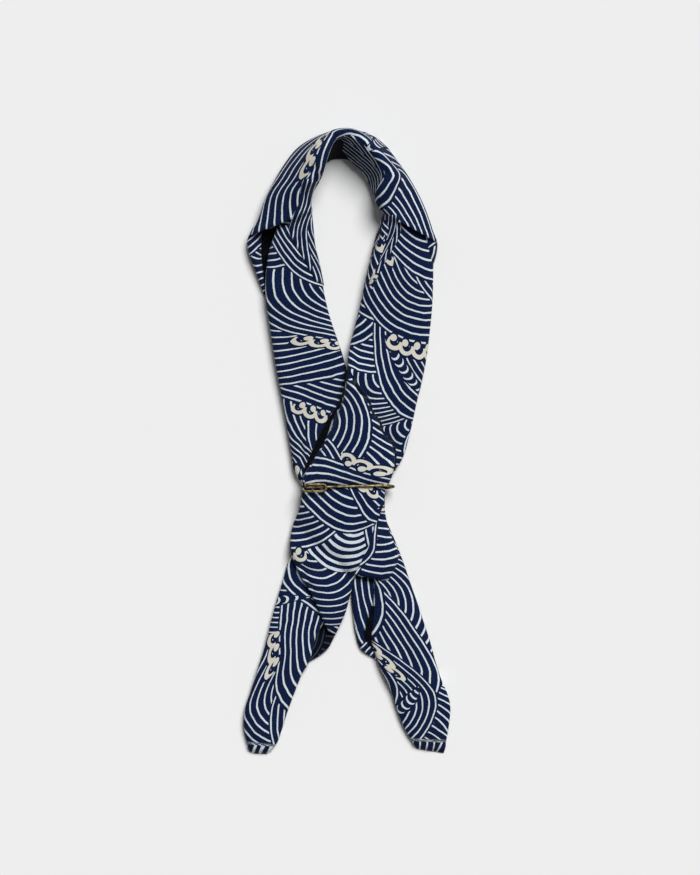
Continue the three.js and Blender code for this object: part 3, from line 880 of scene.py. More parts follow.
# The single layers over the folds: name, first edge and second edge (x, y, z), place on the print.
LAYERS = (
    Flap(
        "inner face at the crest",
        [
            (-1.5, 174.6, 26.6), (3.0, 174.0, 27.6), (8.8, 169.6, 27.2), (13.6, 165.0, 26.4),
            (18.2, 159.4, 24.6), (21.6, 152.2, 22.8), (20.4, 145.4, 20.0), (18.0, 139.0, 15.5),
        ],
        [
            (-4.6, 171.0, 11.0), (-2.0, 166.6, 9.0), (1.1, 163.1, 8.0), (3.3, 160.4, 7.5), (7.0, 157.2, 7.0),
            (10.3, 153.4, 6.5), (12.6, 149.0, 6.0), (15.0, 142.6, 5.0),
        ],
        Print(83, 91, 156),
        arch=0.8,
        gather=1.3,
        rounds=(1.2, 1.5, 0, 0),
        creases=[
            Crease(
                [(-1.5, 170.0), (4.0, 164.5), (9.5, 158.5), (14.6, 152.0), (15.6, 146.0)], 1.6, 1.2, 1.8, 0.2
            )
        ],
    ),
    # A near-black single layer that paints the shade in the hollow under the crest.
    Flap(
        "painted shade at the back of the hollow",
        [
            (-12.6, 163.0, 10.0), (-9.5, 166.5, 15.0), (-4.6, 172.0, 20.0), (-1.0, 171.0, 17.0),
            (3.5, 166.0, 12.0),
        ],
        [(-11.6, 161.0, 0.8), (-8.8, 162.6, 0.6), (-3.8, 163.0, 0.6), (0.4, 162.6, 0.6), (3.6, 161.0, 0.8)],
        Print(30, 0, 20),
        arch=-0.8,
        reverse=1.0,
    ),
    Flap(
        "wing of the panel",
        [
            (18.5, -28.5, 8.5), (15.0, -40.0, 9.0), (10.5, -51.0, 9.0), (8.0, -60.0, 8.8), (5.0, -68.5, 8.4),
            (1.5, -75.5, 7.6),
        ],
        [
            (21.4, -28.0, 7.5), (21.4, -40.0, 7.0), (25.0, -54.0, 6.8), (29.3, -65.0, 6.9),
            (27.4, -72.5, 7.1), (23.6, -79.6, 7.0),
        ],
        Print(228, 40, 44),
        arch=1.6,
        rounds=(1.5, 2.0, 0, 1.2),
        creases=[Crease([(20.0, -60.0), (14.0, -67.0), (9.0, -74.0)], 0.6, 2.5, 2.5)],
    ),
    # Its unprinted side is darkened further by painted shade, for the shadow inside the pocket.
    Flap(
        "left lip",
        [(-14.0, -92.0, 1.6), (-17.0, -104.0, 1.2), (-19.5, -115.0, 1.0), (-22.6, -125.6, 1.0)],
        [
            (0.2, -92.5, 2.4), (-3.5, -103.0, 2.8), (-7.6, -111.6, 3.0), (-11.5, -118.6, 2.6),
            (-16.5, -122.6, 2.2), (-22.0, -125.9, 1.6),
        ],
        Print(60, 0, 20),
        arch=-0.6,
        rounds=(0, 0.9, 0, 0),
        reverse=0.82,
        hem=True,
        step=1.0,
    ),
    Flap(
        "right lip",
        [
            (20.0, -73.0, 2.0), (19.5, -88.0, 1.2), (18.5, -100.0, 0.9), (18.5, -112.0, 0.9),
            (20.0, -124.5, 1.2),
        ],
        [
            (5.0, -73.5, 3.6), (3.0, -85.0, 3.8), (3.8, -99.0, 3.6), (5.2, -109.5, 3.2), (8.2, -118.8, 2.8),
            (15.0, -123.6, 2.2), (18.6, -126.0, 1.8),
        ],
        Print(120, 20, -30),
        arch=0.5,
        rounds=(0, 1.6, 0, 0),
        step=1.0,
        creases=[Crease([(12.0, -98.0), (12.0, -108.0), (13.5, -116.0)], 1.6, 2.0, 2.0)],
    ),
    Flap(
        "gathers at the left shoulder",
        [
            (-24.5, 150.0, 0), (-26.5, 143.0, 0), (-27.6, 135.0, 0), (-31.5, 127.8, 0), (-32.8, 122.0, 0),
            (-29.3, 113.0, 0), (-23.0, 101.8, 0), (-17.0, 91.4, 0),
        ],
        [
            (-16.0, 148.8, 0), (-18.9, 144.5, 0), (-20.6, 138.0, 0), (-20.4, 131.0, 0), (-19.8, 125.0, 0),
            (-18.6, 113.0, 0), (-15.8, 101.0, 0), (-13.6, 90.0, 0),
        ],
        Print(65, 126, 342),
        rests=2.1,
        gather=1.7,
        rounds=(1.7, 5.0, 2.0, 2.0),
        step=0.9,
        creases=[
            Crease(
                [(-25.0, 146.0), (-24.4, 138.0), (-25.4, 130.0), (-26.6, 120.0), (-22.6, 107.0)],
                1.5, 1.0, 1.3, 0.15,
            ),
            Crease(
                [(-22.6, 146.0), (-22.8, 138.0), (-22.9, 128.0), (-22.6, 117.0), (-19.4, 103.0)],
                1.1, 0.7, 1.1, 0.15,
            ),
            Crease([(-29.0, 128.0), (-29.6, 121.0), (-26.0, 110.5), (-21.0, 101.0)], 0.9, 0.8, 1.2, 0.25),
        ],
    ),
    Flap(
        "inner wall of the right shoulder",
        [
            (29.0, 129.5, 0), (30.4, 125.5, 0), (30.2, 119.5, 0), (26.8, 112.0, 0), (22.4, 104.5, 0),
            (17.6, 95.0, 0), (13.4, 86.0, 0),
        ],
        [
            (21.6, 131.0, 0), (20.0, 127.5, 0), (17.2, 119.0, 0), (14.6, 109.0, 0), (13.0, 101.5, 0),
            (11.0, 93.5, 0), (9.4, 85.5, 0),
        ],
        Print(70, 113, 228),
        rests=1.3,
        gather=1.8,
        rounds=(1.0, 6.5, 2.0, 1.3),
        step=0.9,
        creases=[
            Crease([(23.0, 128.0), (23.4, 119.0), (20.4, 109.0), (15.6, 97.0)], 1.4, 1.6, 2.2, 0.25),
            Crease([(19.4, 124.0), (19.4, 116.0), (16.8, 106.5)], 0.8, 0.8, 1.2, 0.3),
        ],
    ),
    # A near-black strip that paints the shadow in the gap beside the crossing.
    Flap(
        "shaded gap beside the crossing",
        [
            (-0.8, 41.5, 0), (-1.8, 29.5, 0), (-6.0, 19.8, 0), (-12.2, 10.9, 0), (-16.6, 2.3, 0),
            (-20.2, -6.3, 0), (-23.0, -12.4, 0), (-25.5, -19.0, 0),
        ],
        [
            (1.6, 41.5, 0), (1.2, 29.5, 0), (-1.6, 20.8, 0), (-6.4, 10.9, 0), (-10.6, 0.3, 0),
            (-16.4, -9.3, 0), (-20.6, -14.6, 0), (-23.6, -20.0, 0),
        ],
        Print(0, 0, 75),
        rests=0.25,
        rounds=(0.7, 0, 0, 0),
        reverse=1.0,
        step=0.8,
    ),
    # A darkened strip that paints the shadow in the valley beside the fold in front.
    Flap(
        "shaded gap beside the fold in front",
        [
            (1.0, 40.5, 0), (2.0, 34.0, 0), (5.2, 27.2, 0), (10.4, 22.4, 0), (12.8, 15.6, 0), (16.6, 10.6, 0),
            (18.6, 4.4, 0), (22.8, -0.2, 0), (25.4, -8.8, 0), (25.0, -16.0, 0),
        ],
        [
            (1.8, 40.8, 0), (4.6, 35.6, 0), (8.6, 29.6, 0), (12.6, 24.4, 0), (15.2, 16.6, 0), (19.0, 11.9, 0),
            (21.2, 5.5, 0), (25.3, 1.2, 0), (28.3, -8.4, 0), (27.3, -16.5, 0),
        ],
        Print(0, 0, 75),
        rests=0.5,
        rounds=(0, 0.7, 0, 0),
        reverse=0.85,
        step=0.8,
    ),
    Flap(
        "fold in front of the crossing",
        [
            (0.8, 42.5, 0), (-0.2, 33.4, 0), (-2.6, 23.6, 0), (-7.8, 13.2, 0), (-12.4, 0.8, 0),
            (-19.4, -11.0, 0), (-24.9, -19.6, 0), (-25.4, -25.6, 0),
        ],
        [
            (1.4, 42.0, 0), (3.2, 34.4, 0), (6.4, 28.0, 0), (11.4, 23.2, 0), (14.0, 16.2, 0), (17.8, 11.4, 0),
            (19.8, 5.2, 0), (24.2, 0.6, 0), (27.0, -8.8, 0), (26.2, -16.5, 0), (23.0, -25.4, 0),
        ],
        Print(130, 13, 312),
        rests=1.9,
        flat=True,
        rounds=(3.2, 1.8, 1.6, 1.5),
        creases=[
            Crease([(6.0, 27.0), (3.0, 14.0), (-3.0, 1.0), (-10.0, -14.0)], 0.9, 3.0, 4.5, 0.3),
            Crease([(-14.0, -6.0), (-17.0, -14.0), (-19.0, -24.0)], 1.0, 1.4, 1.8, 0.3),
            Crease([(-19.5, -13.0), (-21.4, -18.0), (-22.4, -24.5)], 0.9, 0.9, 1.2, 0.3),
            Crease([(-25.0, -26.4), (0.0, -25.6), (23.0, -24.8)], 1.2, 2.8, 2.8, 0.1),
        ],
    ),
    # A near-black single layer that paints the shadow inside the right lip.
    Flap(
        "painted shade inside the right lip",
        [
            (14.2, -94.0, 4.6), (12.8, -100.0, 4.4), (10.8, -106.5, 4.2), (10.4, -111.0, 3.9),
            (12.4, -115.4, 3.4), (15.6, -119.5, 2.8),
        ],
        [
            (16.4, -94.0, 5.2), (15.8, -100.0, 4.9), (15.3, -106.5, 4.6), (15.6, -111.0, 4.4),
            (16.4, -115.0, 4.0), (17.6, -118.6, 3.4),
        ],
        Print(0, 0, 75),
        reverse=1.0,
        step=0.9,
    ),
    # A near-black single layer that paints the shadow inside the left ear, under the cap's hem.
    Flap(
        "painted shade inside the left ear",
        [(-38.0, 128.0, 1.0), (-38.5, 114.0, 0.9), (-42.0, 100.0, 0.9), (-44.5, 84.5, 0.8)],
        [(-52.0, 126.0, 2.0), (-52.5, 114.0, 2.2), (-51.0, 101.0, 2.0), (-47.0, 86.0, 1.4)],
        Print(0, 0, 75),
        reverse=1.0,
    ),
    Flap(
        "left ear",
        [
            (-48.6, 126.0, 3.4), (-49.3, 117.0, 3.2), (-49.6, 110.0, 3.0), (-48.8, 100.0, 2.6),
            (-47.6, 91.0, 2.2), (-46.6, 85.0, 1.4),
        ],
        [
            (-54.0, 122.5, 5.6), (-56.9, 115.0, 6.0), (-56.0, 108.5, 5.8), (-53.0, 100.2, 5.0),
            (-49.9, 91.5, 3.8), (-47.3, 84.5, 2.2),
        ],
        Print(140, 50, 75),
        gather=1.6,
        arch=1.9,
        rounds=(1.5, 1.8, 0, 0),
        step=0.8,
    ),
    Flap(
        "right ear",
        [(44.0, 124.0, 9.5), (45.6, 114.5, 10.0), (47.2, 108.5, 9.0), (48.2, 102.0, 6.5)],
        [(48.6, 120.6, 6.5), (51.3, 115.0, 6.2), (51.2, 109.5, 5.8), (49.6, 103.2, 4.5)],
        Print(200, 30, 10),
        arch=1.4,
        rounds=(1.0, 2.2, 0, 1.0),
        step=0.9,
    ),
)

CROSSING_END = (-96, -70)  # y between which the upper strand comes down off the lower one
TAIL_START = (-62, -36)  # y between which it climbs on to the left tail
TAIL_END = (-112, -96)  # y between which it comes down again
TAIL_END_SHARE = 0.5  # of the way
CROSSING_DROOP = 1.0  # how far past an edge the upper strand hangs, in half widths
TAIL_DROOP = 1.1


@dataclass
class Bandana:
    """The whole cloth: two strands, the wrap over the loop's top, and the single layers that show.

    Args:
        flat_side: The side of the square when it lies flat; not used.
        clearance: The air between two strands that cross.
    """

    flat_side: float = 540.0
    clearance: float = 0.45

    def folds(self) -> list[Fold]:
        """The lengths of folded band, the lowest first."""
        lower = Fold(
            "lower strand", LOWER_ROWS, Print(70, 122, 54), None, LOWER_CREASES, Undulation(seed=3.7)
        )
        right_tail = Fold(
            "right tail", RIGHT_TAIL_ROWS, Print(109, 35, 186), None, RIGHT_TAIL_CREASES,
            Undulation(seed=6.4), (False, True), True,
        )
        tail = Fold(
            "left tail", LEFT_TAIL_ROWS, Print(74, 30, 144), None, LEFT_TAIL_CREASES, Undulation(seed=8.1),
            (False, True), True,
        )

        def over_both(x: Points, y: Points) -> Points:
            """The height at which the upper strand lies over the lower one and the left tail."""
            strands = (fold.height_over(x, y, self.clearance, CROSSING_DROOP) for fold in (lower, right_tail))
            crossing = np.maximum(*strands) * smooth_fall(y, CROSSING_TO, CROSSING_FROM)
            crossing = crossing * (1 - smooth_fall(y, *CROSSING_END))
            on_tail = tail.height_over(x, y, self.clearance, TAIL_DROOP) * smooth_fall(y, *TAIL_START)
            on_tail = on_tail * (1 - smooth_fall(y, *TAIL_END) * TAIL_END_SHARE)
            return np.maximum(crossing, on_tail)

        upper = Fold(
            "upper strand", UPPER_ROWS, Print(68, 118, 108), over_both, UPPER_CREASES, Undulation(seed=5.2)
        )
        cap = Fold(
            "wrap over the top", CAP_ROWS, Print(109, 17, 330, 1.22), None, CAP_CREASES,
            Undulation(height=0.4, seed=1.3), (True, True),
        )
        return [lower, right_tail, tail, upper, cap]

    def build(self) -> tuple[bpy.types.Object, list[Hem]]:
        """Makes the cloth.

        Returns:
            The mesh object, and the stitch lines of its hems.
        """
        patches: list[tuple[Patch, Print]] = []
        hems: list[Hem] = []
        skins: list[Patch] = []
        for fold in self.folds():
            skin, lines = fold.skin()
            hems += lines
            skins.append(skin)
            patches.append((skin, fold.prints))
            patches += [(ply, fold.prints) for ply in fold.plies()]
            log.info("%s: %d sections", fold.name, len(fold.run))
        bed = Bed(skins)
        for flap in LAYERS:
            layer, lines = flap.patch(bed)
            hems += lines
            patches.append((layer, flap.prints))
            log.info("%s: %d points", flap.name, layer.s.size)
        return self.joined(patches), hems

    def joined(self, patches: list[tuple[Patch, Print]]) -> bpy.types.Object:
        """One mesh of all the parts, with its pattern coordinates and its bake map."""
        places, faces, prints, reverse = [], [], [], []
        bake = BakeMap()
        start = 0
        for patch, where in patches:
            corners = grid_faces(*patch.s.shape)
            up = grid_normals(patch.grid)[:, patch.shown if patch.shown.any() else slice(None), 2].mean()
            corners = corners if up < 0 else corners[:, ::-1]
            bake.lay(patch, corners)
            faces.append(corners + start)
            places.append(patch.grid.reshape(-1, 3))
            prints.append(np.stack(where.place(patch.s, patch.w), axis=-1).reshape(-1, 2))
            reverse.append(patch.reverse.ravel())
            start += patch.s.size
        mesh = bpy.data.meshes.new("printed_cloth")
        place = np.concatenate(places) * MM
        mesh.from_pydata(place.tolist(), [], np.concatenate(faces).tolist())
        on_print = np.concatenate(prints) * MM
        corners = np.concatenate(faces).ravel()
        for name, spots in (("Print", on_print[corners]), ("OFBake", bake.places())):
            mesh.uv_layers.new(name=name).data.foreach_set("uv", spots.astype(np.float32).ravel())
        # Per point, how far the cloth shows its unprinted back, darkened by painted shade.
        shows = mesh.attributes.new("Reverse", "FLOAT", "POINT")
        shows.data.foreach_set("value", np.concatenate(reverse).astype(np.float32))
        piece = smooth_piece("printed_cloth", mesh)
        shell = piece.modifiers.new("thickness", "SOLIDIFY")
        shell.thickness = CLOTH_THICK * MM
        shell.offset = -1
        shell.use_rim = True
        return piece


# ---- Finishes -----------------------------------------------------------------------------------


@dataclass(frozen=True)
class Wave:
    """One wave of the repeat: a hump of rings that hides the humps behind it, whose middles lie higher.

    Args:
        x, y: Its middle in the repeat.
        radius: To its edge.
        facing: The direction in degrees of its steep side, where its rings crowd together.
        crowd: How much they crowd there.
        spacing: From ring to ring.
        thick: Of a line.
        taper: How much thicker the lines are on the steep side.
    """

    x: float
    y: float
    radius: float
    facing: float
    crowd: float = 0.12
    spacing: float = 4.8
    thick: float = 1.02
    taper: float = 0.15


@dataclass(frozen=True)
class Foam:
    """A chain of curls that breaks along a wave's crest.

    Args:
        wave: The wave.
        start: The direction in degrees of the first curl, from the wave's facing.
        curls: How many there are.
        lift: How far outside the wave's edge the chain runs.
    """

    wave: Wave
    start: float
    curls: float
    lift: float = 2.0


@dataclass(frozen=True)
class Ladder:
    """A row of small crescents between two waves.

    Args:
        x, y: Its middle in the repeat.
        facing: Its direction in degrees.
        long: Its length.
        bend: How much it curves.
    """

    x: float
    y: float
    facing: float
    long: float
    bend: float


REPEAT = 150.0  # side of the square repeat
WAVES = (
    Wave(8, 4, 56, 100),
    Wave(62, 12, 60, 50, 0.22, 5.1),
    Wave(112, -2, 52, 140, 0.14, 4.6),
    Wave(30, 44, 50, 150, 0.24),
    Wave(88, 44, 60, 70, 0.1, 5.2),
    Wave(138, 36, 55, 30, 0.22),
    Wave(10, 80, 58, 60, 0.2, 5.0),
    Wave(66, 84, 48, 120, 0.3, 6.0, 1.7, 0.6),
    Wave(118, 74, 56, 160, 0.16),
    Wave(38, 118, 57, 90, 0.12, 4.6),
    Wave(94, 112, 60, 20, 0.24, 5.1),
    Wave(146, 118, 52, 120, 0.18),
)
FOAMS = (
    Foam(WAVES[1], 10, 4),
    Foam(WAVES[6], -8, 4),
    Foam(WAVES[8], -78, 4),
    Foam(WAVES[9], 10, 3),
    Foam(WAVES[5], 32, 3),
)
LADDERS = (
    Ladder(34, 64, 35, 56, -0.003),
    Ladder(108, 142, -25, 50, -0.004),
)


def sockets_of(
    tree: bpy.types.NodeTree, vectors: str, floats: str, outputs: str, kind: str = "NodeSocketFloat"
) -> None:
    """Gives a node group its inputs and outputs.

    Args:
        tree: The group.
        vectors: The names of its vector inputs.
        floats: The names of its number inputs, which follow them.
        outputs: The names of its outputs.
        kind: The type of its outputs.
    """
    for names, in_out, type_name in (
        (vectors, "INPUT", "NodeSocketVector"), (floats, "INPUT", "NodeSocketFloat"),
        (outputs, "OUTPUT", kind),
    ):
        for name in names.split():
            tree.interface.new_socket(name=name, in_out=in_out, socket_type=type_name)


@dataclass(frozen=True)
class PrintedCotton:
    """Plain-woven cotton, resist-dyed in indigo so that rough waves stay pale.

    It is matt, with a slight fuzz at grazing angles, and its lines break up a little on the threads.

    Args:
        deep, bright: The dyed ground, where it is darkest and lightest.
        pale, pale_shade: The cloth's own colour in the lines, at its lightest and darkest.
        foam: The lines of the curls.
        roughness: Of the whole cloth.
        thread: From thread to thread, drawn at about twice the real spacing so that it shows.
        edge: The softness of a printed line's edge.
        margin: From a wave's edge to the middle of its first line.
        fuzz: The strength of the sheen.
        back: How much of the print is left on the unprinted back, and how far painted shade darkens it.
    """

    deep: str = "#02061a"
    bright: str = "#13264f"
    pale: str = "#e4ecf0"
    pale_shade: str = "#bdc7ce"
    foam: str = "#d2cfc2"
    roughness: float = 0.88
    thread: float = 0.95
    edge: float = 0.24
    margin: float = 2.0
    fuzz: float = 0.03
    back: tuple[float, float] = (0.05, 0.07)

    def near(self, tree: bpy.types.NodeTree, given: Any) -> tuple[bpy.types.Node, bpy.types.Node]:
        """The place from the nearest copy of a middle, as it is and turned to the facing."""
        half = REPEAT / 2
        away = add(tree, VECTOR, given["Place"], given["Middle"], operation="SUBTRACT")
        straight = add(tree, VECTOR, away, (half, half, 1), (-half, -half, -1), operation="WRAP")
        back = add(tree, MATH, given["Facing"], -math.pi / 180, operation="MULTIPLY")
        return straight, add(
            tree, "ShaderNodeVectorRotate", straight, named={"Angle": back}, rotation_type="Z_AXIS"
        )

    def inked(self, tree: bpy.types.NodeTree, past: Any) -> bpy.types.Node:
        """A printed shape with soft edges, from how far a place lies inside its outline."""
        return add(
            tree, "ShaderNodeMapRange", past, -self.edge, self.edge, 0.0, 1.0, interpolation_type="SMOOTHSTEP"
        )

    def wave_group(self) -> bpy.types.NodeTree:
        """The group that lays one wave among those so far."""
        tree = bpy.data.node_groups.new("rough wave", "ShaderNodeTree")
        sockets_of(tree, "Place Middle", "Under Front Radius Facing Crowd Spacing Thick Taper", "Ink Front")
        given = add(tree, "NodeGroupInput").outputs
        straight, here = self.near(tree, given)
        length = add(tree, VECTOR, here, operation="LENGTH").outputs["Value"]
        ahead = add(tree, "ShaderNodeSeparateXYZ", here).outputs["X"]
        above = add(tree, "ShaderNodeSeparateXYZ", straight).outputs["Y"]
        ring = add(tree, MATH, ahead, given["Crowd"], length, operation="MULTIPLY_ADD")
        within = add(tree, MATH, ring, given["Radius"], operation="LESS_THAN")
        in_front = add(tree, MATH, above, given["Front"], operation="GREATER_THAN")
        shown = add(tree, MATH, within, in_front, operation="MULTIPLY")
        inside = add(tree, MATH, given["Radius"], ring, operation="SUBTRACT")
        inward = add(tree, MATH, inside, self.margin, operation="SUBTRACT")
        half_gap = add(tree, MATH, given["Spacing"], 0.5, operation="MULTIPLY")
        off_line = add(tree, MATH, inward, half_gap, operation="PINGPONG")
        toward = add(tree, MATH, ahead, length, operation="DIVIDE")
        swell = add(tree, MATH, toward, given["Taper"], 1.0, operation="MULTIPLY_ADD")
        whole_line = add(tree, MATH, swell, given["Thick"], operation="MULTIPLY")
        half_line = add(tree, MATH, whole_line, 0.5, operation="MULTIPLY")
        line = self.inked(tree, add(tree, MATH, half_line, off_line, operation="SUBTRACT"))
        laid = add(tree, "ShaderNodeMix", shown, named={2: given["Under"], 3: line})
        front = add(tree, "ShaderNodeMix", shown, named={2: given["Front"], 3: above})
        add(tree, "NodeGroupOutput", laid, front)
        return tree

    def foam_group(self) -> bpy.types.NodeTree:
        """The group that breaks a chain of curls over a wave's crest."""
        tree = bpy.data.node_groups.new("foam curls", "ShaderNodeTree")
        sockets_of(tree, "Place Middle", "Under Radius Facing Crowd Start Curls", "Ink Foam")
        given = add(tree, "NodeGroupInput").outputs
        pitch, arch, stroke, foot, squash = 9.4, 4.4, 1.2, 0.8, (0.94, 0.86, 0)
        ball, ball_off, clearing = 2.35, (1.9, 1.45, 0), (-1.6, -1.2)
        _, here = self.near(tree, given)
        length = add(tree, VECTOR, here, operation="LENGTH").outputs["Value"]
        apart = add(tree, "ShaderNodeSeparateXYZ", here)
        angle = add(tree, MATH, apart.outputs["Y"], apart.outputs["X"], operation="ARCTAN2")
        turned = add(tree, MATH, given["Start"], -math.pi / 180, angle, operation="MULTIPLY_ADD")
        run = add(tree, MATH, turned, given["Radius"], operation="MULTIPLY")
        span = add(tree, MATH, given["Curls"], pitch, operation="MULTIPLY")
        begun = add(tree, MATH, run, 0.0, operation="GREATER_THAN")
        unended = add(tree, MATH, run, span, operation="LESS_THAN")
        window = add(tree, MATH, begun, unended, operation="MULTIPLY")
        half = pitch / 2
        u = add(tree, MATH, add(tree, MATH, run, -half, operation="ADD"), half, -half, operation="WRAP")
        ring = add(tree, MATH, apart.outputs["X"], given["Crowd"], length, operation="MULTIPLY_ADD")
        v = add(tree, MATH, ring, given["Radius"], operation="SUBTRACT")
        spot = add(tree, "ShaderNodeCombineXYZ", u, v)
        far = add(tree, VECTOR, add(tree, VECTOR, spot, squash, operation="MULTIPLY"), operation="LENGTH")
        past = add(tree, MATH, far.outputs["Value"], arch, operation="SUBTRACT")
        off_arch = add(tree, MATH, past, operation="ABSOLUTE")
        below = add(tree, MATH, add(tree, MATH, v, -1.0, operation="MULTIPLY"), foot, operation="SUBTRACT")
        off_stroke = add(tree, MATH, off_arch, stroke, operation="SUBTRACT")
        arch_edge = add(tree, MATH, off_stroke, below, operation="MAXIMUM")
        far = add(tree, VECTOR, add(tree, VECTOR, spot, ball_off, operation="ADD"), operation="LENGTH")
        ball_edge = add(tree, MATH, far.outputs["Value"], ball, operation="SUBTRACT")
        outside = add(tree, MATH, arch_edge, ball_edge, operation="MINIMUM")
        inside = add(tree, MATH, outside, -1.0, operation="MULTIPLY")
        near = add(tree, "ShaderNodeMapRange", inside, *clearing, 0.0, 1.0, interpolation_type="SMOOTHSTEP")
        near = add(tree, MATH, near, window, operation="MULTIPLY")
        clear = add(tree, MATH, near, given["Under"], operation="MULTIPLY")
        curl = add(tree, MATH, self.inked(tree, inside), window, operation="MULTIPLY")
        cleared = add(tree, MATH, given["Under"], clear, operation="SUBTRACT")
        add(tree, "NodeGroupOutput", add(tree, MATH, cleared, curl, operation="MAXIMUM"), curl)
        return tree

    def ladder_group(self) -> bpy.types.NodeTree:
        """The group that sets a row of crescents between two waves."""
        tree = bpy.data.node_groups.new("crescents", "ShaderNodeTree")
        sockets_of(tree, "Place Middle", "Under Facing Long Bend", "Ink")
        given = add(tree, "NodeGroupInput").outputs
        half_tall, margin, wrap = 5.0, 0.9, (1.7, -3.8)
        outer_round, inner_round, inner_off = 3.3, 3.25, -1.5
        _, here = self.near(tree, given)
        apart = add(tree, "ShaderNodeSeparateXYZ", here)
        x, y = apart.outputs["X"], apart.outputs["Y"]
        squared_x = add(tree, MATH, x, x, operation="MULTIPLY")
        bow = add(tree, MATH, squared_x, given["Bend"], operation="MULTIPLY")
        v = add(tree, MATH, y, bow, operation="SUBTRACT")
        twice = add(tree, MATH, x, 2.0, operation="MULTIPLY")
        share = add(tree, MATH, twice, given["Long"], operation="DIVIDE")
        lens = add(tree, MATH, 1.0, add(tree, MATH, share, share, operation="MULTIPLY"), operation="SUBTRACT")
        tall = add(tree, MATH, lens, half_tall, operation="MULTIPLY")
        room = add(tree, MATH, tall, add(tree, MATH, v, operation="ABSOLUTE"), operation="SUBTRACT")
        u = add(tree, MATH, x, *wrap, operation="WRAP")
        far = add(tree, VECTOR, add(tree, "ShaderNodeCombineXYZ", u, v), operation="LENGTH")
        outer = add(tree, MATH, outer_round, far.outputs["Value"], operation="SUBTRACT")
        shifted = add(tree, MATH, u, inner_off, operation="ADD")
        far = add(tree, VECTOR, add(tree, "ShaderNodeCombineXYZ", shifted, v), operation="LENGTH")
        inner = add(tree, MATH, far.outputs["Value"], inner_round, operation="SUBTRACT")
        crescent = add(tree, MATH, outer, inner, operation="MINIMUM")
        in_row = add(tree, MATH, room, margin, operation="SUBTRACT")
        inked = self.inked(tree, add(tree, MATH, crescent, in_row, operation="MINIMUM"))
        shown = add(tree, MATH, room, 0.0, operation="GREATER_THAN")
        laid = add(tree, "ShaderNodeMix", shown, named={2: given["Under"], 3: inked})
        add(tree, "NodeGroupOutput", laid)
        return tree

    def swayed(self, tree: bpy.types.NodeTree, place: bpy.types.Node) -> bpy.types.Node:
        """The place where the pattern is looked up, so that its rings sway as if drawn by hand."""
        step = 2 * math.pi / REPEAT
        quarter = {"Angle": math.pi / 2}
        across = add(tree, "ShaderNodeVectorRotate", place, named=quarter, rotation_type="Z_AXIS")
        broad = (step, (0.6, 1.7, 0), (10, 8, 0))
        fine = (2 * step, (2.1, 0.3, 0), (2.6, 2.6, 0))
        for scale, phase, sway in (broad, fine):
            turn = add(tree, VECTOR, across, (scale, scale, 0), phase, operation="MULTIPLY_ADD")
            swing = add(tree, VECTOR, turn, operation="SINE")
            place = add(tree, VECTOR, swing, sway, place, operation="MULTIPLY_ADD")
        shiver = add(tree, "ShaderNodeTexNoise", place, named={"Scale": 1 / 9, "Detail": 1.0})
        off = add(tree, VECTOR, shiver.outputs["Color"], (0.5, 0.5, 0.5), operation="SUBTRACT")
        return add(tree, VECTOR, off, (1.2, 1.2, 0), place, operation="MULTIPLY_ADD")

    def drawing(self, tree: bpy.types.NodeTree, place: bpy.types.Node) -> tuple[Any, Any]:
        """The whole repeat: how much is inked at a place, and how much of that is foam."""
        ink: Any = 0.0
        front: Any = -999.0  # below every wave
        group = self.wave_group()
        for wave in WAVES:
            sizes = {"Place": place, "Middle": (wave.x, wave.y, 0), "Under": ink, "Front": front}
            sizes |= {"Radius": wave.radius, "Facing": wave.facing, "Crowd": wave.crowd}
            sizes |= {"Spacing": wave.spacing, "Thick": wave.thick, "Taper": wave.taper}
            ink, front = add(tree, "ShaderNodeGroup", named=sizes, node_tree=group).outputs
        group = self.ladder_group()
        for row in LADDERS:
            sizes = {"Place": place, "Middle": (row.x, row.y, 0), "Under": ink}
            sizes |= {"Facing": row.facing, "Long": row.long, "Bend": row.bend}
            ink = add(tree, "ShaderNodeGroup", named=sizes, node_tree=group).outputs[0]
        group = self.foam_group()
        foam: Any = 0.0
        for chain in FOAMS:
            wave = chain.wave
            sizes = {"Place": place, "Middle": (wave.x, wave.y, 0), "Under": ink}
            sizes |= {"Radius": wave.radius + chain.lift, "Facing": wave.facing, "Crowd": wave.crowd}
            sizes |= {"Start": chain.start, "Curls": chain.curls}
            ink, more = add(tree, "ShaderNodeGroup", named=sizes, node_tree=group).outputs
            foam = add(tree, MATH, foam, more, operation="MAXIMUM")
        return ink, foam

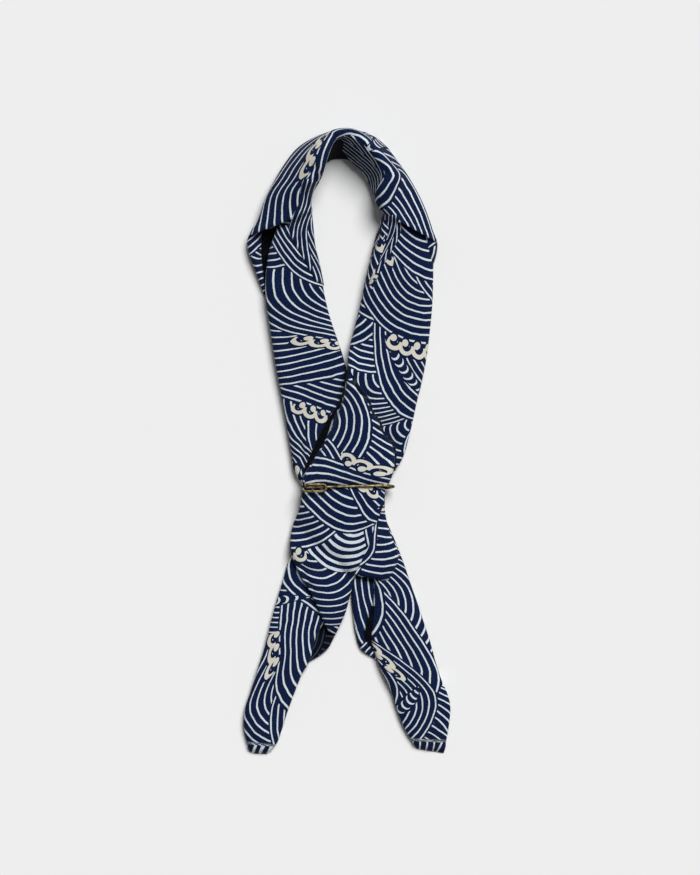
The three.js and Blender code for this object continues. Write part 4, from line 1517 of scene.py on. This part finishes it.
    def material(self) -> bpy.types.Material:
        """The finish as a material that reads the cloth's own Print coordinates."""
        made, tree = empty_finish("indigo_wave_print_cotton")
        place = in_millimetres(tree, add(tree, "ShaderNodeUVMap", uv_map="Print"))
        ink, foam = self.drawing(tree, self.swayed(tree, place))
        grain = add(tree, "ShaderNodeTexNoise", place, named={"Scale": 1.15, "Detail": 2.0, "Roughness": 0.6})
        scaled = add(tree, VECTOR, place, named={"Scale": 2 * math.pi / self.thread}, operation="SCALE")
        turns = add(tree, VECTOR, scaled, operation="SINE")
        apart = add(tree, "ShaderNodeSeparateXYZ", turns)
        weave = add(tree, MATH, apart.outputs["X"], apart.outputs["Y"], operation="MULTIPLY")
        uneven = add(tree, MATH, add(tree, MATH, grain, 0.5, operation="SUBTRACT"), 0.6, operation="MULTIPLY")
        rough = add(tree, MATH, weave, 0.1, uneven, operation="MULTIPLY_ADD")
        ragged = add(tree, MATH, rough, ink, operation="ADD")
        printed = add(tree, "ShaderNodeMapRange", ragged, 0.3, 0.7, 0.0, 1.0, interpolation_type="SMOOTHSTEP")
        unprinted_shaded_share = add(tree, "ShaderNodeAttribute", attribute_name="Reverse").outputs["Fac"]
        through = add(tree, "ShaderNodeMapRange", unprinted_shaded_share, 0.0, 1.0, 1.0, self.back[0])
        mark = add(tree, MATH, printed, through, operation="MULTIPLY")
        cloudy = add(tree, "ShaderNodeMapRange", grain, 0.34, 0.66, 0.0, 1.0)
        tone = add(tree, MATH, weave, 0.22, cloudy, operation="MULTIPLY_ADD")
        colours = {6: linear(self.deep), 7: linear(self.bright)}
        navy = add(tree, "ShaderNodeMix", tone, named=colours, data_type="RGBA")
        colours = {6: linear(self.pale_shade), 7: linear(self.pale)}
        cream = add(tree, "ShaderNodeMix", tone, named=colours, data_type="RGBA")
        colours = {6: cream.outputs[2], 7: linear(self.foam)}
        foamy = add(tree, "ShaderNodeMix", foam, named=colours, data_type="RGBA")
        colours = {6: navy.outputs[2], 7: foamy.outputs[2]}
        both = add(tree, "ShaderNodeMix", mark, named=colours, data_type="RGBA")
        # Painted shade: where the cloth shows its unprinted back, its colour is scaled down to near black.
        back_and_painted_shade = add(tree, "ShaderNodeMapRange", unprinted_shaded_share, 0.0, 1.0, 1.0, self.back[1])
        colour = add(tree, VECTOR, both.outputs[2], named={"Scale": back_and_painted_shade}, operation="SCALE")
        height = add(tree, MATH, weave, 0.5, grain, operation="MULTIPLY_ADD")
        bump = add(tree, "ShaderNodeBump", named={"Strength": 0.55, "Distance": 0.16 * MM, "Height": height})
        looks = {"Base Color": colour, "Normal": bump, "Roughness": self.roughness}
        looks |= {"Specular IOR Level": 0.06, "Sheen Weight": self.fuzz, "Sheen Roughness": 0.5}
        shader = add(tree, "ShaderNodeBsdfPrincipled", named=looks)
        add(tree, "ShaderNodeOutputMaterial", shader)
        return made


@dataclass(frozen=True)
class AgedBrass:
    """Drawn brass wire gone brown with handling, with bright and dull patches.

    Args:
        bright, brown: The two kinds of patch.
        roughness: Between the two.
        patch: About how large they are.
        patch_edge: Between which levels of the noise one turns into the other.
    """

    bright: str = "#8c7e58"
    brown: str = "#332c1e"
    roughness: float = 0.36
    patch: float = 3.5
    patch_edge: tuple[float, float] = (0.35, 0.62)

    def material(self) -> bpy.types.Material:
        """The finish as a material on Object coordinates."""
        made, tree = empty_finish("aged_brass_wire")
        place = in_millimetres(tree, add(tree, "ShaderNodeTexCoord").outputs["Object"])
        kind = {"Scale": 1 / self.patch, "Detail": 4.0, "Roughness": 0.65}
        patches = add(tree, "ShaderNodeTexNoise", place, named=kind)
        share = add(tree, "ShaderNodeMapRange", patches, *self.patch_edge, 0.0, 1.0)
        colours = {6: linear(self.brown), 7: linear(self.bright)}
        colour = add(tree, "ShaderNodeMix", share, named=colours, data_type="RGBA")
        dullest, brightest = self.roughness + 0.18, self.roughness - 0.06
        dull = add(tree, "ShaderNodeMapRange", patches, *self.patch_edge, dullest, brightest)
        drawn_out = add(tree, VECTOR, place, (0.35, 9, 9), operation="MULTIPLY")
        drawn_lines = add(tree, "ShaderNodeTexNoise", drawn_out, named={"Scale": 1.0, "Detail": 1.0})
        relief = {"Strength": 0.25, "Distance": 0.03 * MM, "Height": drawn_lines}
        bump = add(tree, "ShaderNodeBump", named=relief)
        looks = {"Base Color": colour.outputs[2], "Normal": bump, "Roughness": dull, "Metallic": 1.0}
        shader = add(tree, "ShaderNodeBsdfPrincipled", named=looks)
        add(tree, "ShaderNodeOutputMaterial", shader)
        return made


@dataclass(frozen=True)
class SewingThread:
    """Spun polyester sewing thread in the cloth's own blue: a tight twist with a faint lustre."""

    colour: str = "#22366b"
    groove_shade: str = "#101d40"
    roughness: float = 0.62
    twist: float = 0.5

    def material(self) -> bpy.types.Material:
        """The finish as a material on Object coordinates."""
        made, tree = empty_finish("blue_sewing_thread")
        place = in_millimetres(tree, add(tree, "ShaderNodeTexCoord").outputs["Object"])
        kind = {"Scale": 1 / self.twist, "Distortion": 0.6}
        turns = add(tree, "ShaderNodeTexWave", place, named=kind, bands_direction="DIAGONAL").outputs["Fac"]
        # The second colour is darker in the grooves of the twist: painted shade.
        colours = {6: linear(self.groove_shade), 7: linear(self.colour)}
        colour = add(tree, "ShaderNodeMix", turns, named=colours, data_type="RGBA")
        bump = add(tree, "ShaderNodeBump", named={"Strength": 0.4, "Distance": 0.05 * MM, "Height": turns})
        looks = {"Base Color": colour.outputs[2], "Normal": bump, "Roughness": self.roughness}
        shader = add(tree, "ShaderNodeBsdfPrincipled", named=looks)
        add(tree, "ShaderNodeOutputMaterial", shader)
        return made


# ---- Stitches -----------------------------------------------------------------------------------


@dataclass
class Stitches:
    """Rows of short stitches that hold the turned hems."""

    pitch: float = 3.0
    length: float = 2.1
    thread: float = 0.38
    lift: float = 0.12

    def tree(self, finish: bpy.types.Material) -> bpy.types.NodeTree:
        """The tree that puts one stitch at each step along the hems."""
        tree = bpy.data.node_groups.new("hem stitches", "GeometryNodeTree")
        tree.interface.new_socket(name="Geometry", in_out="INPUT", socket_type="NodeSocketGeometry")
        sockets_of(tree, "", "Pitch Length Thread", "Geometry", "NodeSocketGeometry")
        given = add(tree, "NodeGroupInput").outputs
        hems = add(tree, "GeometryNodeMeshToCurve", given["Geometry"])
        steps = add(tree, "GeometryNodeResampleCurve", hems, named={"Length": given["Pitch"]}, mode="LENGTH")
        spots = add(tree, "GeometryNodeCurveToPoints", steps, mode="EVALUATED")
        turned = add(
            tree, "FunctionNodeAlignRotationToVector", named={"Vector": spots.outputs["Tangent"]}, axis="Z"
        )
        bead = add(tree, "GeometryNodeMeshUVSphere", named={"Segments": 8, "Rings": 6, "Radius": 0.5})
        size = add(tree, "ShaderNodeCombineXYZ", given["Thread"], given["Thread"], given["Length"])
        stitch = add(tree, "GeometryNodeTransform", bead, named={"Scale": size})
        placed = add(
            tree, "GeometryNodeInstanceOnPoints", spots, named={"Instance": stitch, "Rotation": turned}
        )
        real = add(tree, "GeometryNodeRealizeInstances", placed)
        add(tree, "NodeGroupOutput", add(tree, "GeometryNodeSetMaterial", real, named={"Material": finish}))
        return tree

    def build(self, hems: list[Hem], finish: bpy.types.Material) -> bpy.types.Object:
        """Makes the stitches.

        Args:
            hems: The lines that they follow.
            finish: The thread's material.

        Returns:
            One plain mesh of all the stitches.
        """
        places, edges = [], []
        for hem in hems:
            start = len(places)
            raised = (hem.points + hem.normals * self.lift) * MM
            places += raised.tolist()
            edges += [(start + k, start + k + 1) for k in range(len(raised) - 1)]
        lines = bpy.data.meshes.new("hem_lines")
        lines.from_pydata(places, edges, [])
        guide = bpy.data.objects.new("hem_lines", lines)
        bpy.context.scene.collection.objects.link(guide)
        tree = self.tree(finish)
        sewn = guide.modifiers.new("stitches", "NODES")
        sewn.node_group = tree
        sizes = {"Pitch": self.pitch * MM, "Length": self.length * MM, "Thread": self.thread * MM}
        for socket in tree.interface.items_tree:
            if getattr(socket, "in_out", "") == "INPUT" and socket.name in sizes:
                sewn[socket.identifier] = sizes[socket.name]
        bpy.context.view_layer.update()
        graph = bpy.context.evaluated_depsgraph_get()
        mesh = bpy.data.meshes.new_from_object(guide.evaluated_get(graph))
        bpy.data.objects.remove(guide)
        mesh.name = "hem_stitches"
        return smooth_piece("hem_stitches", mesh)


# ---- The pin ------------------------------------------------------------------------------------


@dataclass
class BlanketPin:
    """A pin bent from one wire: a needle, one turn of coil, an arm, and a hairpin that hooks the needle.

    Args:
        left, right: The ends of the arm, in x.
        line_y: The middle between the needle and the arm.
        needle_z, arm_z: Their heights.
        wire: Its diameter.
        coil_radius, coil_pitch, coil_z: The coil's turn, how far apart its ends are, and its height.
        arm_slant: How far the arm leans toward the front at its left end.
        needle_tip: How far the point reaches past the arm.
        catch_length, catch_width: The hairpin's size.
        catch_behind, catch_gap, hook_gap: How far it stands behind the arm, above it and below the needle.
        sides: Of the tube.
        coil_steps: Pieces that the turn is made of.
        point: How far from the needle's point, and with which radius there.
        round_end: The shares of the radius in the steps that close the other end.
        round_step: The length of those steps.
    """

    left: float
    right: float
    line_y: float
    needle_z: float
    arm_z: float
    wire: float = 1.4
    coil_radius: float = 1.6
    coil_pitch: float = 1.8
    coil_z: float = 7.6
    arm_slant: float = 1.3
    needle_tip: float = 1.0
    catch_length: float = 13.7
    catch_width: float = 3.9
    catch_behind: float = 0.5
    catch_gap: float = 0.35
    hook_gap: float = 0.3
    sides: int = 20
    coil_steps: int = 40
    point: tuple[tuple[float, float], ...] = ((0.0, 0.06), (1.0, 0.3), (2.2, 0.52), (3.4, 0.7))
    round_end: tuple[float, ...] = (0.86, 0.5, 0.1)
    round_step: float = 0.12

    @classmethod
    def in_place_of(cls, node: str) -> "BlanketPin":
        """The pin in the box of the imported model's own."""
        low, high = (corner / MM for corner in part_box(node))
        half = cls.wire / 2
        return cls(
            left=low.x + cls.needle_tip,
            right=high.x - 2 * cls.coil_radius - half,
            line_y=high.y - cls.coil_pitch / 2 - cls.catch_behind - half,
            needle_z=low.z + half + cls.wire + cls.hook_gap,
            arm_z=high.z - half - cls.wire - cls.catch_gap,
        )

    def corner(self, points: Sequence[Vector], k: int, bend: float, steps: int = 9) -> list[Vector]:
        """The k-th corner of a route, rounded into an arc."""
        at = points[k]
        if not bend:
            return [at]
        back, on = (points[k - 1] - at).normalized(), (points[k + 1] - at).normalized()
        half = back.angle(on) / 2
        centre = at + (back + on).normalized() * (bend / math.sin(half))
        cut = bend / math.tan(half)
        start, end = at + back * cut - centre, at + on * cut - centre
        sweep = start.angle(end)
        arc = []
        for step in range(steps + 1):
            share = step / steps
            before, after = (math.sin(part * sweep) / math.sin(sweep) for part in (1 - share, share))
            arc.append(centre + start * before + end * after)
        return arc

    def route(self) -> list[Vector]:
        """The middle of the wire from the needle's point to the end of the catch."""
        needle_y, arm_y = self.line_y - self.coil_pitch / 2, self.line_y + self.coil_pitch / 2
        catch_z = self.arm_z + self.wire + self.catch_gap
        hook_z = self.needle_z - self.wire - self.hook_gap
        back_y = arm_y + self.catch_behind
        front_y = back_y - self.catch_width
        bow = self.catch_width / 2 - 0.01
        needle = [
            ((self.left - self.needle_tip, needle_y, self.needle_z), 0),
            ((self.right, needle_y, self.needle_z), 1.6),
            ((self.right, needle_y, self.coil_z - 1), 0),
        ]
        arm = [
            ((self.right, arm_y, self.coil_z + 1), 0),
            ((self.right, arm_y, self.arm_z), 1.6),
            ((self.left + 2.2, arm_y - self.arm_slant, self.arm_z), 0.85),
            ((self.left + 2.2, back_y, catch_z), 0.85),
            ((self.left + self.catch_length, back_y, catch_z), bow),
            ((self.left + self.catch_length, front_y, catch_z), bow),
            ((self.left, front_y, catch_z), 1.5),
            ((self.left, front_y - 0.45, hook_z), 0.9),
            ((self.left, needle_y + 1.9, hook_z), 0.9),
            ((self.left, needle_y + 1.9, self.needle_z + 1.2), 0),
        ]
        return self.bent(needle) + self.coil(needle_y) + self.bent(arm)

    def bent(self, part: Sequence[tuple[tuple[float, float, float], float]]) -> list[Vector]:
        """A length of wire with its corners rounded."""
        points = [Vector(at) for at, _ in part]
        return [spot for k, (_, bend) in enumerate(part) for spot in self.corner(points, k, bend)]

    def coil(self, needle_y: float) -> list[Vector]:
        """The one turn between the needle and the arm."""
        line = []
        for k in range(self.coil_steps + 1):
            share = k / self.coil_steps
            angle = math.pi - 2 * math.pi * share
            x = self.right + self.coil_radius * (1 + math.cos(angle))
            z = self.coil_z + self.coil_radius * math.sin(angle)
            line.append(Vector((x, needle_y + self.coil_pitch * share, z)))
        return line

    def build(self) -> bpy.types.Object:
        """Makes the wire as a closed tube with a sharp start and a round end."""
        line = self.route()
        last = len(line) - 1
        way = [(line[min(k + 1, last)] - line[max(k - 1, 0)]).normalized() for k in range(len(line))]
        radius = [self.wire / 2] * len(line)
        line = [line[0] + way[0] * far for far, _ in self.point] + line[1:]
        way = [way[0]] * len(self.point) + way[1:]
        radius = [thin for _, thin in self.point] + radius[1:]
        for share in self.round_end:
            line.append(line[-1] + way[-1] * self.round_step)
            way.append(way[-1])
            radius.append(self.wire / 2 * share)
        side = Vector((0, 1, 0))
        places, faces = [], []
        turns = [2 * math.pi * k / self.sides for k in range(self.sides)]
        for at, to, r in zip(line, way, radius):
            side = (side - to * side.dot(to)).normalized()
            other = to.cross(side)
            places += [
                (at + side * (r * math.cos(turn)) + other * (r * math.sin(turn))) * MM for turn in turns
            ]
        for ring in range(len(line) - 1):
            for k in range(self.sides):
                a, b = ring * self.sides + k, ring * self.sides + (k + 1) % self.sides
                faces.append((a, b, b + self.sides, a + self.sides))
        faces.append(tuple(reversed(range(self.sides))))
        faces.append(tuple(range((len(line) - 1) * self.sides, len(line) * self.sides)))
        mesh = bpy.data.meshes.new("brass_pin")
        mesh.from_pydata([tuple(p) for p in places], [], faces)
        return smooth_piece("brass_pin", mesh)


# ---- The studio ---------------------------------------------------------------------------------


@dataclass
class Studio:
    """A pale floor, a soft key from the upper right, an even sky, and a camera straight above.

    Args:
        floor_colour: Of the board.
        floor_side: Its size in metres.
        sky: The even sky's share of the light, whose other part is the sun's.
        toward_sun: The direction of the sun.
        sun_spread: Its width in degrees.
        camera_height: Above the floor, in metres.
        view_long: The length of floor across the width of its view.
        centre: The place under the camera.
        sensor: The width of the camera's sensor in mm.
        sight: How far the camera sees, in metres.
    """

    floor_colour: str = "#eeeeee"
    sky: float = 0.14
    toward_sun: tuple[float, float, float] = (0.35, 0.65, 1.0)
    sun_spread: float = 32.0
    camera_height: float = 2.4
    view_long: float = 0.5031
    centre: tuple[float, float] = (0.0017, 0.0026)
    floor_side: float = 8.0
    sensor: float = 36.0
    sight: float = 20.0

    def build(self) -> None:
        """Makes the floor, the lights and the camera."""
        scene = bpy.context.scene
        scene.view_settings.view_transform = "Standard"
        self.make_floor()
        self.make_sky(scene)
        toward = Vector(self.toward_sun).normalized()
        key = bpy.data.lights.new("window", "SUN")
        key.energy = (1 - self.sky) * math.pi / toward.z
        key.angle = math.radians(self.sun_spread)
        lamp = bpy.data.objects.new("window", key)
        lamp.rotation_euler = toward.to_track_quat("Z", "Y").to_euler()
        scene.collection.objects.link(lamp)
        lens = bpy.data.cameras.new("camera")
        lens.sensor_width = self.sensor
        lens.lens = lens.sensor_width * self.camera_height / self.view_long
        lens.clip_end = self.sight
        camera = bpy.data.objects.new("camera", lens)
        camera.location = (*self.centre, self.camera_height)
        scene.collection.objects.link(camera)
        scene.camera = camera

    def make_floor(self) -> None:
        """The surface that the cloth lies on."""
        bpy.ops.mesh.primitive_plane_add(size=self.floor_side)
        floor = bpy.context.object
        floor.name = "floor"
        made = bpy.data.materials.new("matt_white_board")
        made.use_nodes = True
        shader = made.node_tree.nodes["Principled BSDF"]
        shader.inputs["Base Color"].default_value = linear(self.floor_colour)
        shader.inputs["Roughness"].default_value = 0.9
        shader.inputs["Specular IOR Level"].default_value = 0.0
        floor.data.materials.append(made)

    def make_sky(self, scene: bpy.types.Scene) -> None:
        """An even sky for the light, seen by the camera as the floor's own colour."""
        world = bpy.data.worlds.new("sky")
        scene.world = world
        world.use_nodes = True
        tree = world.node_tree
        tree.nodes.clear()
        path = add(tree, "ShaderNodeLightPath")
        seen = add(
            tree, MATH, path.outputs["Is Camera Ray"], path.outputs["Is Glossy Ray"], operation="MAXIMUM"
        )
        even = add(tree, "ShaderNodeBackground", (1, 1, 1, 1), self.sky)
        backdrop = add(tree, "ShaderNodeBackground", linear(self.floor_colour), 1.0)
        add(tree, "ShaderNodeOutputWorld", add(tree, "ShaderNodeMixShader", seen, even, backdrop))


class Slot(Enum):
    """Names of material slots, paired with the pieces in main but not given to them."""

    COTTON = "cotton_print"
    BRASS = "aged_brass"


def main() -> None:
    """Builds the pieces in order, attaches each to the root and logs its face count."""
    logging.basicConfig(level=logging.INFO, format="%(name)s: %(message)s")
    cloth = Bandana()
    sheet, hems = cloth.build()
    sheet.data.materials.append(PrintedCotton().material())
    pin = BlanketPin.in_place_of("pin").build()
    pin.data.materials.append(AgedBrass().material())
    stitches = Stitches().build(hems, SewingThread().material())
    for piece, slot in ((sheet, Slot.COTTON), (stitches, Slot.COTTON), (pin, Slot.BRASS)):
        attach(piece, "root")
        log.info("%s: %d faces", piece.name, len(piece.data.polygons))
    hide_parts("bandana")
    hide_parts("pin")
    Studio().build()


if __name__ == "__main__":
    main()
